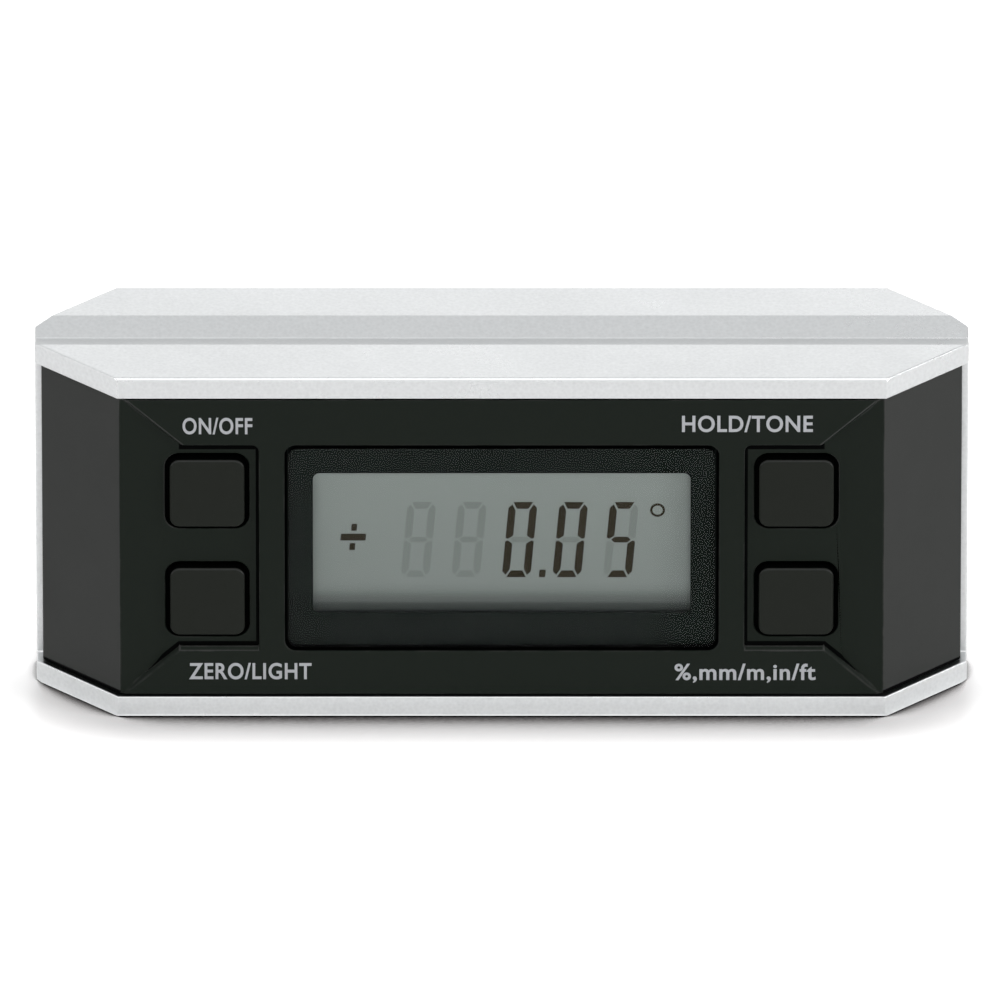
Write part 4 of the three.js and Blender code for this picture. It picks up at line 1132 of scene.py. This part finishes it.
def make_leads():
    """Insulated leads: a straight run, a quarter bend drawn as a curve of the second degree, and a drop."""
    look = looks().power
    radius, bend = look.lead_wire, 2.5 * MILLIMETRE
    red, black = ("wire_red", (0.36, 0.022, 0.016)), ("wire_black", (0.014, 0.014, 0.016))
    for sign, (slot, tone) in (("positive", red), ("negative", black)):
        node_name = "battery_wire_" + sign
        low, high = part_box(node_name)
        corner = np.array([low.x + radius, high.y - radius, middle(node_name)[2]])
        start = np.array([high.x, corner[1], corner[2]])
        first, last = corner + [bend, 0, 0], corner - [0, bend, 0]
        end = np.array([corner[0], low.y, corner[2]])
        t = np.linspace(0, 1, 17)[:, None]
        curve = (1 - t) ** 2 * first + 2 * t * (1 - t) * corner + t**2 * last
        path = np.concatenate([np.linspace(start, first, 5)[:-1], curve, np.linspace(last, end, 8)[1:]])
        rings = tube_rings(path, np.broadcast_to([0.0, 0.0, 1.0], path.shape), radius, 20)
        insulation = plastic(slot + "_insulation", tone, 0.42, grain=0.3, smear=0.005)
        wrapped(node_name + "_lead", rings, "case", slot, insulation, node_name)
    nickel = metal("nickel_strip", (0.60, 0.60, 0.58), 0.26, grain=0.15)
    for end in ("positive", "negative", "bridge"):
        dress("battery_contact_" + end, nickel)


# Electronics


def make_cans():
    """Turned parts about Y: sensor can, buzzer and switch plungers, from radii and depths in millimetres."""
    tin = metal("tinned_steel", (0.55, 0.56, 0.57), 0.28)
    epoxy = plastic("buzzer_shell", (0.014, 0.014, 0.015), 0.5)
    red = plastic("plunger_red", (0.25, 0.03, 0.02), 0.45)
    can = [8, 8, 7.8, 6.2, 6, 6, 5.8, 0.2], [0, 4.2, 4.5, 4.5, 4.6, 5.1, 5.3, 5.3]
    shell = [6, 6, 5.6, 1.1, 0.9, 0.9, 0.2], [0, 4.6, 5, 5, 4.8, 2.6, 2.6]
    parts = [("tilt_sensor", "tinned_can", tin, *can), ("buzzer", "black_epoxy", epoxy, *shell)]
    for key in BUTTONS:
        node_name = key + "_switch_plunger"
        depths = [0, 0, 0.06, 0.2, size(node_name)[1] / MILLIMETRE]
        parts.append((node_name, "plunger_plastic", red, [0.2, 1.55, 1.7, 1.75, 1.75], depths))
    for node_name, slot, material, radii, depths in parts:
        centre = middle(node_name)
        foot = [centre[0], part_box(node_name)[0].y, centre[2]]
        rings = turned_rings(*np.array([radii, depths]) * MILLIMETRE) + foot
        wrapped(node_name + "_turned", rings, frame["nodes"][node_name]["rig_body"], slot, material, node_name)


def dress_electronics():
    """Materials of the inner pieces that keep their own shapes."""
    dress("main_board", board_surface())
    dress("crystal", bpy.data.materials["tinned_steel"])
    finishes = [("microcontroller", "moulded_epoxy", (0.012, 0.012, 0.013), 0.55, 0.12)]
    for count in range(1, 5):
        finishes.append((f"capacitor_{count}", f"ceramic_{count}", (0.33, 0.24, 0.15), 0.4, 0.1))
    finishes += [
        ("backlight_diffuser", "diffuser_white", (0.8, 0.82, 0.81), 0.5, 0.25),
        ("lcd_holder", "holder_white", (0.66, 0.66, 0.62), 0.5, 0.2),
        ("lcd_contact_strip", "striped_rubber", (0.05, 0.05, 0.053), 0.75, 0.15),
    ]
    for node_name, name, base, roughness, grain in finishes:
        dress(node_name, plastic(name, base, roughness, grain))
    lens = plastic("led_lens", (0.8, 0.76, 0.5), 0.3, grain=0.1)
    for count in range(1, 4):
        dress(f"backlight_led_{count}", lens)
    switch = plastic("switch_black", (0.025, 0.025, 0.028), 0.5, grain=0.1)
    for key in BUTTONS:
        dress(key + "_switch_body", switch)


# Stage


def seen_directly(tree):
    """1 for the camera and for what gloss and clear pieces show of the surroundings, else 0."""
    light = tree.nodes.new("ShaderNodeLightPath").outputs
    seen = math_node(tree, "ADD", light["Is Camera Ray"], light["Is Glossy Ray"])
    return math_node(tree, "ADD", seen, light["Is Transmission Ray"], clamp=True)


# Painted contact shadow: share of open sky over a point of the floor, and how pale the floor is painted there
PAINTED_CONTACT_SHADOW = (
    (0.5, 0.0),
    (0.53, 0.045),
    (0.562, 0.178),
    (0.604, 0.54),
    (0.645, 0.77),
    (0.726, 0.8),
    (0.85, 0.84),
    (1.0, 1.0),
)


def make_floor(look):
    """Floor: one flat square, white to the eye and darkened by shadow and by a painted contact shadow.

    The painted contact shadow darkens the floor's colour and its glow to the eye by the share of open sky over
    it;
    it follows the object's long faces and slanted corners and fades beside its short sides.
    Gloss sees a floor that glows brighter under the object, a painted light for reflections, and glass a dim
    one.
    """
    half = look.floor_size / 2
    mesh = bpy.data.meshes.new("floor")
    corners = [(-half, -half, 0), (half, -half, 0), (half, half, 0), (-half, half, 0)]
    mesh.from_pydata(corners, [], [(0, 1, 2, 3)])
    floor = linked("floor", mesh)
    made, tree, shader, place = start_material("pale_floor")
    light = tree.nodes.new("ShaderNodeLightPath").outputs
    reach = 16 * MILLIMETRE
    # Painted contact shadow: colour and glow darken for the eye where little open sky is over the floor
    open_share = node(tree, "ShaderNodeAmbientOcclusion", {"samples": 16}, Distance=reach).outputs["AO"]
    levels = [(share, (pale, *[pale * (0.94 + 0.06 * pale)] * 2)) for share, pale in PAINTED_CONTACT_SHADOW]
    side = math_node(tree, "ABSOLUTE", node(tree, "ShaderNodeSeparateXYZ", _0=place).outputs["X"])
    ends = ramp(tree, side, 77.5 * MILLIMETRE, 73.5 * MILLIMETRE)
    eye = times(tree, ends, light["Is Camera Ray"])
    shaded = tinted(tree, eye, (1, 1, 1), stepped(tree, open_share, levels))
    plain = tinted(tree, noise(tree, place, 40.0, Detail=3.0), look.floor, scaled(look.floor, 1.01))
    product = {"data_type": "RGBA", "blend_type": "MULTIPLY"}
    base = node(tree, "ShaderNodeMix", product, _0=1.0, _6=plain, _7=shaded).outputs[2]
    # Painted light: for gloss the floor glows brighter where the object covers its sky
    covered = math_node(tree, "SUBTRACT", 1.0, open_share)
    mirrored = math_node(tree, "MULTIPLY_ADD", covered, 0.75, 0.2)
    seen = times(tree, light["Is Camera Ray"], 0.42)
    lifted = math_node(tree, "MULTIPLY_ADD", light["Is Transmission Ray"], 0.2, seen)
    strength = math_node(tree, "MULTIPLY_ADD", light["Is Glossy Ray"], mirrored, lifted)
    fill(shader, Base_Color=base, Roughness=0.9, Specular_IOR_Level=0.0)
    fill(shader, Emission_Color=shaded, Emission_Strength=strength)
    mesh.materials.append(made)


def make_world():
    """Surroundings that the eye and gloss see, with a plain fill for everything else.

    They are pale. Behind the object a dark band lies below the top, and over the front they are brighter.
    """
    world = bpy.data.worlds.new("studio")
    world.use_nodes = True
    bpy.context.scene.world = world
    tree = world.node_tree
    low, band, top, overhead = [1.1] * 3, (0.4, 0.405, 0.415), (1.05, 1.055, 1.06), [2.0] * 3
    outward = tree.nodes.new("ShaderNodeTexCoord").outputs["Generated"]
    axes = node(tree, "ShaderNodeSeparateXYZ", _0=outward).outputs
    behind = ramp(tree, axes["Y"], -0.15, 0.15)
    before = math_node(tree, "SUBTRACT", 1.0, behind)
    above = tinted(tree, ramp(tree, axes["Z"], 0.68, 0.78), band, top)
    rear = tinted(tree, times(tree, behind, ramp(tree, axes["Z"], 0.49, 0.64)), low, above)
    whole = tinted(tree, times(tree, before, ramp(tree, axes["Z"], 0.8, 0.9)), rear, overhead)
    shown = fill(tree.nodes["Background"], Color=whole)
    soft = node(tree, "ShaderNodeBackground", Color=(1, 1, 1, 1), Strength=0.2)
    mix = node(tree, "ShaderNodeMixShader", Fac=seen_directly(tree), _1=soft.outputs[0], _2=shown.outputs[0])
    fill(tree.nodes["World Output"], Surface=mix.outputs[0])


def lamp(name, place, aim, sides, power, mirrored=True):
    """Area lamp at a place, aimed at a point, with two sides. Gloss shows it only where mirrored is set."""
    light = bpy.data.lights.new(name, "AREA")
    light.shape = "RECTANGLE"
    light.size, light.size_y = sides
    light.energy = power
    made = linked(name, light)
    made.location = place
    made.rotation_euler = aimed(np.subtract(aim, place))
    made.visible_glossy = mirrored


def aimed(direction):
    """Turn that points a lamp along a direction: first the tilt from straight down, then the bearing."""
    x, y, z = direction / np.linalg.norm(direction)
    return (math.acos(-z), 0.0, math.atan2(-x, y))


def make_camera(look):
    """Camera that looks down at the front face from straight ahead."""
    camera = linked("camera", bpy.data.cameras.new("camera"))
    face = cad_box[0][1]
    back, rise = look.distance * math.cos(look.pitch), look.distance * math.sin(look.pitch)
    camera.location = (look.target_side, face - back, look.target_height + rise)
    camera.rotation_euler = (math.pi / 2 - look.pitch, 0, 0)
    camera.data.lens = look.focal
    camera.data.sensor_width = 36
    camera.data.clip_end = 100
    bpy.context.scene.camera = camera


def make_stage():
    look = looks().stage
    make_floor(look)
    make_world()
    foot = (0, 0, 0.03)
    lamp("overhead", (0, 0.09, 1.1), (0, 0.09, 0), (0.3, 0.14), 8.5, mirrored=False)
    lamp("front", (0, -1.5, 0.3), foot, (1.4, 0.5), 9, mirrored=False)
    lamp("left_side", (-0.9, -0.4, 0.2), foot, (0.4, 0.3), 0.9)
    lamp("right_side", (0.9, -0.4, 0.2), foot, (0.4, 0.3), 3.4)
    lamp("back", (0, 2.2, 1.1), (0, 0, 0.05), (2.4, 1.4), 2.5)
    make_camera(look)
    bpy.context.scene.view_settings.view_transform = "Standard"


# Operators


class INCLINOMETER_OT_frame(Operator):
    """Make the grooved aluminium frame"""

    bl_idname = "inclinometer.frame"
    bl_label = "Frame"
    bl_options = {"REGISTER", "UNDO"}

    def execute(self, context):
        make_frame()
        return {"FINISHED"}


class INCLINOMETER_OT_housings(Operator):
    """Make the front and rear halves of the black housing"""

    bl_idname = "inclinometer.housings"
    bl_label = "Housings"
    bl_options = {"REGISTER", "UNDO"}

    def execute(self, context):
        make_housings()
        return {"FINISHED"}


class INCLINOMETER_OT_door(Operator):
    """Make the sliding battery door"""

    bl_idname = "inclinometer.door"
    bl_label = "Battery door"
    bl_options = {"REGISTER", "UNDO"}

    def execute(self, context):
        make_door()
        return {"FINISHED"}


class INCLINOMETER_OT_buttons(Operator):
    """Make the four button caps"""

    bl_idname = "inclinometer.buttons"
    bl_label = "Buttons"
    bl_options = {"REGISTER", "UNDO"}

    def execute(self, context):
        make_caps()
        return {"FINISHED"}


class INCLINOMETER_OT_window(Operator):
    """Make the clear window and its printed border"""

    bl_idname = "inclinometer.window"
    bl_label = "Window"
    bl_options = {"REGISTER", "UNDO"}

    def execute(self, context):
        make_window()
        return {"FINISHED"}


class INCLINOMETER_OT_display(Operator):
    """Make the display's figures and signs and dress its glass"""

    bl_idname = "inclinometer.display"
    bl_label = "Display"
    bl_options = {"REGISTER", "UNDO"}

    def execute(self, context):
        make_reading()
        return {"FINISHED"}


class INCLINOMETER_OT_legends(Operator):
    """Print the legends beside the buttons"""

    bl_idname = "inclinometer.legends"
    bl_label = "Legends"
    bl_options = {"REGISTER", "UNDO"}

    def execute(self, context):
        make_legends()
        return {"FINISHED"}


class INCLINOMETER_OT_screws(Operator):
    """Make the case and board screws"""

    bl_idname = "inclinometer.screws"
    bl_label = "Screws"
    bl_options = {"REGISTER", "UNDO"}

    def execute(self, context):
        make_screws()
        return {"FINISHED"}


class INCLINOMETER_OT_power(Operator):
    """Make the cells, their springs, contacts and leads"""

    bl_idname = "inclinometer.power"
    bl_label = "Power"
    bl_options = {"REGISTER", "UNDO"}

    def execute(self, context):
        make_cells()
        make_springs()
        make_leads()
        return {"FINISHED"}


class INCLINOMETER_OT_electronics(Operator):
    """Make the cans and plungers and dress the board's parts"""

    bl_idname = "inclinometer.electronics"
    bl_label = "Electronics"
    bl_options = {"REGISTER", "UNDO"}

    def execute(self, context):
        make_cans()
        dress_electronics()
        return {"FINISHED"}


class INCLINOMETER_OT_stage(Operator):
    """Set the floor, the light and the camera"""

    bl_idname = "inclinometer.stage"
    bl_label = "Stage"
    bl_options = {"REGISTER", "UNDO"}

    def execute(self, context):
        make_stage()
        return {"FINISHED"}


OPERATORS = (
    INCLINOMETER_OT_frame,
    INCLINOMETER_OT_housings,
    INCLINOMETER_OT_door,
    INCLINOMETER_OT_buttons,
    INCLINOMETER_OT_window,
    INCLINOMETER_OT_display,
    INCLINOMETER_OT_legends,
    INCLINOMETER_OT_screws,
    INCLINOMETER_OT_power,
    INCLINOMETER_OT_electronics,
    INCLINOMETER_OT_stage,
)


class INCLINOMETER_PT_sidebar(Panel):
    """Lists the building steps"""

    bl_label = "Inclinometer"
    bl_idname = "INCLINOMETER_PT_sidebar"
    bl_space_type = "VIEW_3D"
    bl_region_type = "UI"
    bl_category = "Inclinometer"

    def draw(self, context):
        for operator in OPERATORS:
            self.layout.operator(operator.bl_idname)


class InclinometerLook(PropertyGroup):
    casing: PointerProperty(type=FrameLook)
    housing: PointerProperty(type=HousingLook)
    buttons: PointerProperty(type=ButtonLook)
    display: PointerProperty(type=DisplayLook)
    legends: PointerProperty(type=LegendLook)
    fasteners: PointerProperty(type=FastenerLook)
    power: PointerProperty(type=PowerLook)
    stage: PointerProperty(type=StageLook)


CLASSES = (
    FrameLook,
    HousingLook,
    ButtonLook,
    DisplayLook,
    LegendLook,
    FastenerLook,
    PowerLook,
    StageLook,
    InclinometerLook,
    *OPERATORS,
    INCLINOMETER_PT_sidebar,
)


def register():
    for cls in CLASSES:
        bpy.utils.register_class(cls)
    bpy.types.Scene.inclinometer = PointerProperty(type=InclinometerLook)


def unregister():
    del bpy.types.Scene.inclinometer
    for cls in reversed(CLASSES):
        bpy.utils.unregister_class(cls)


def main():
    register()
    for operator in OPERATORS:
        step = operator.bl_idname.split(".")[1]
        getattr(bpy.ops.inclinometer, step)()


if __name__ == "__main__":
    main()
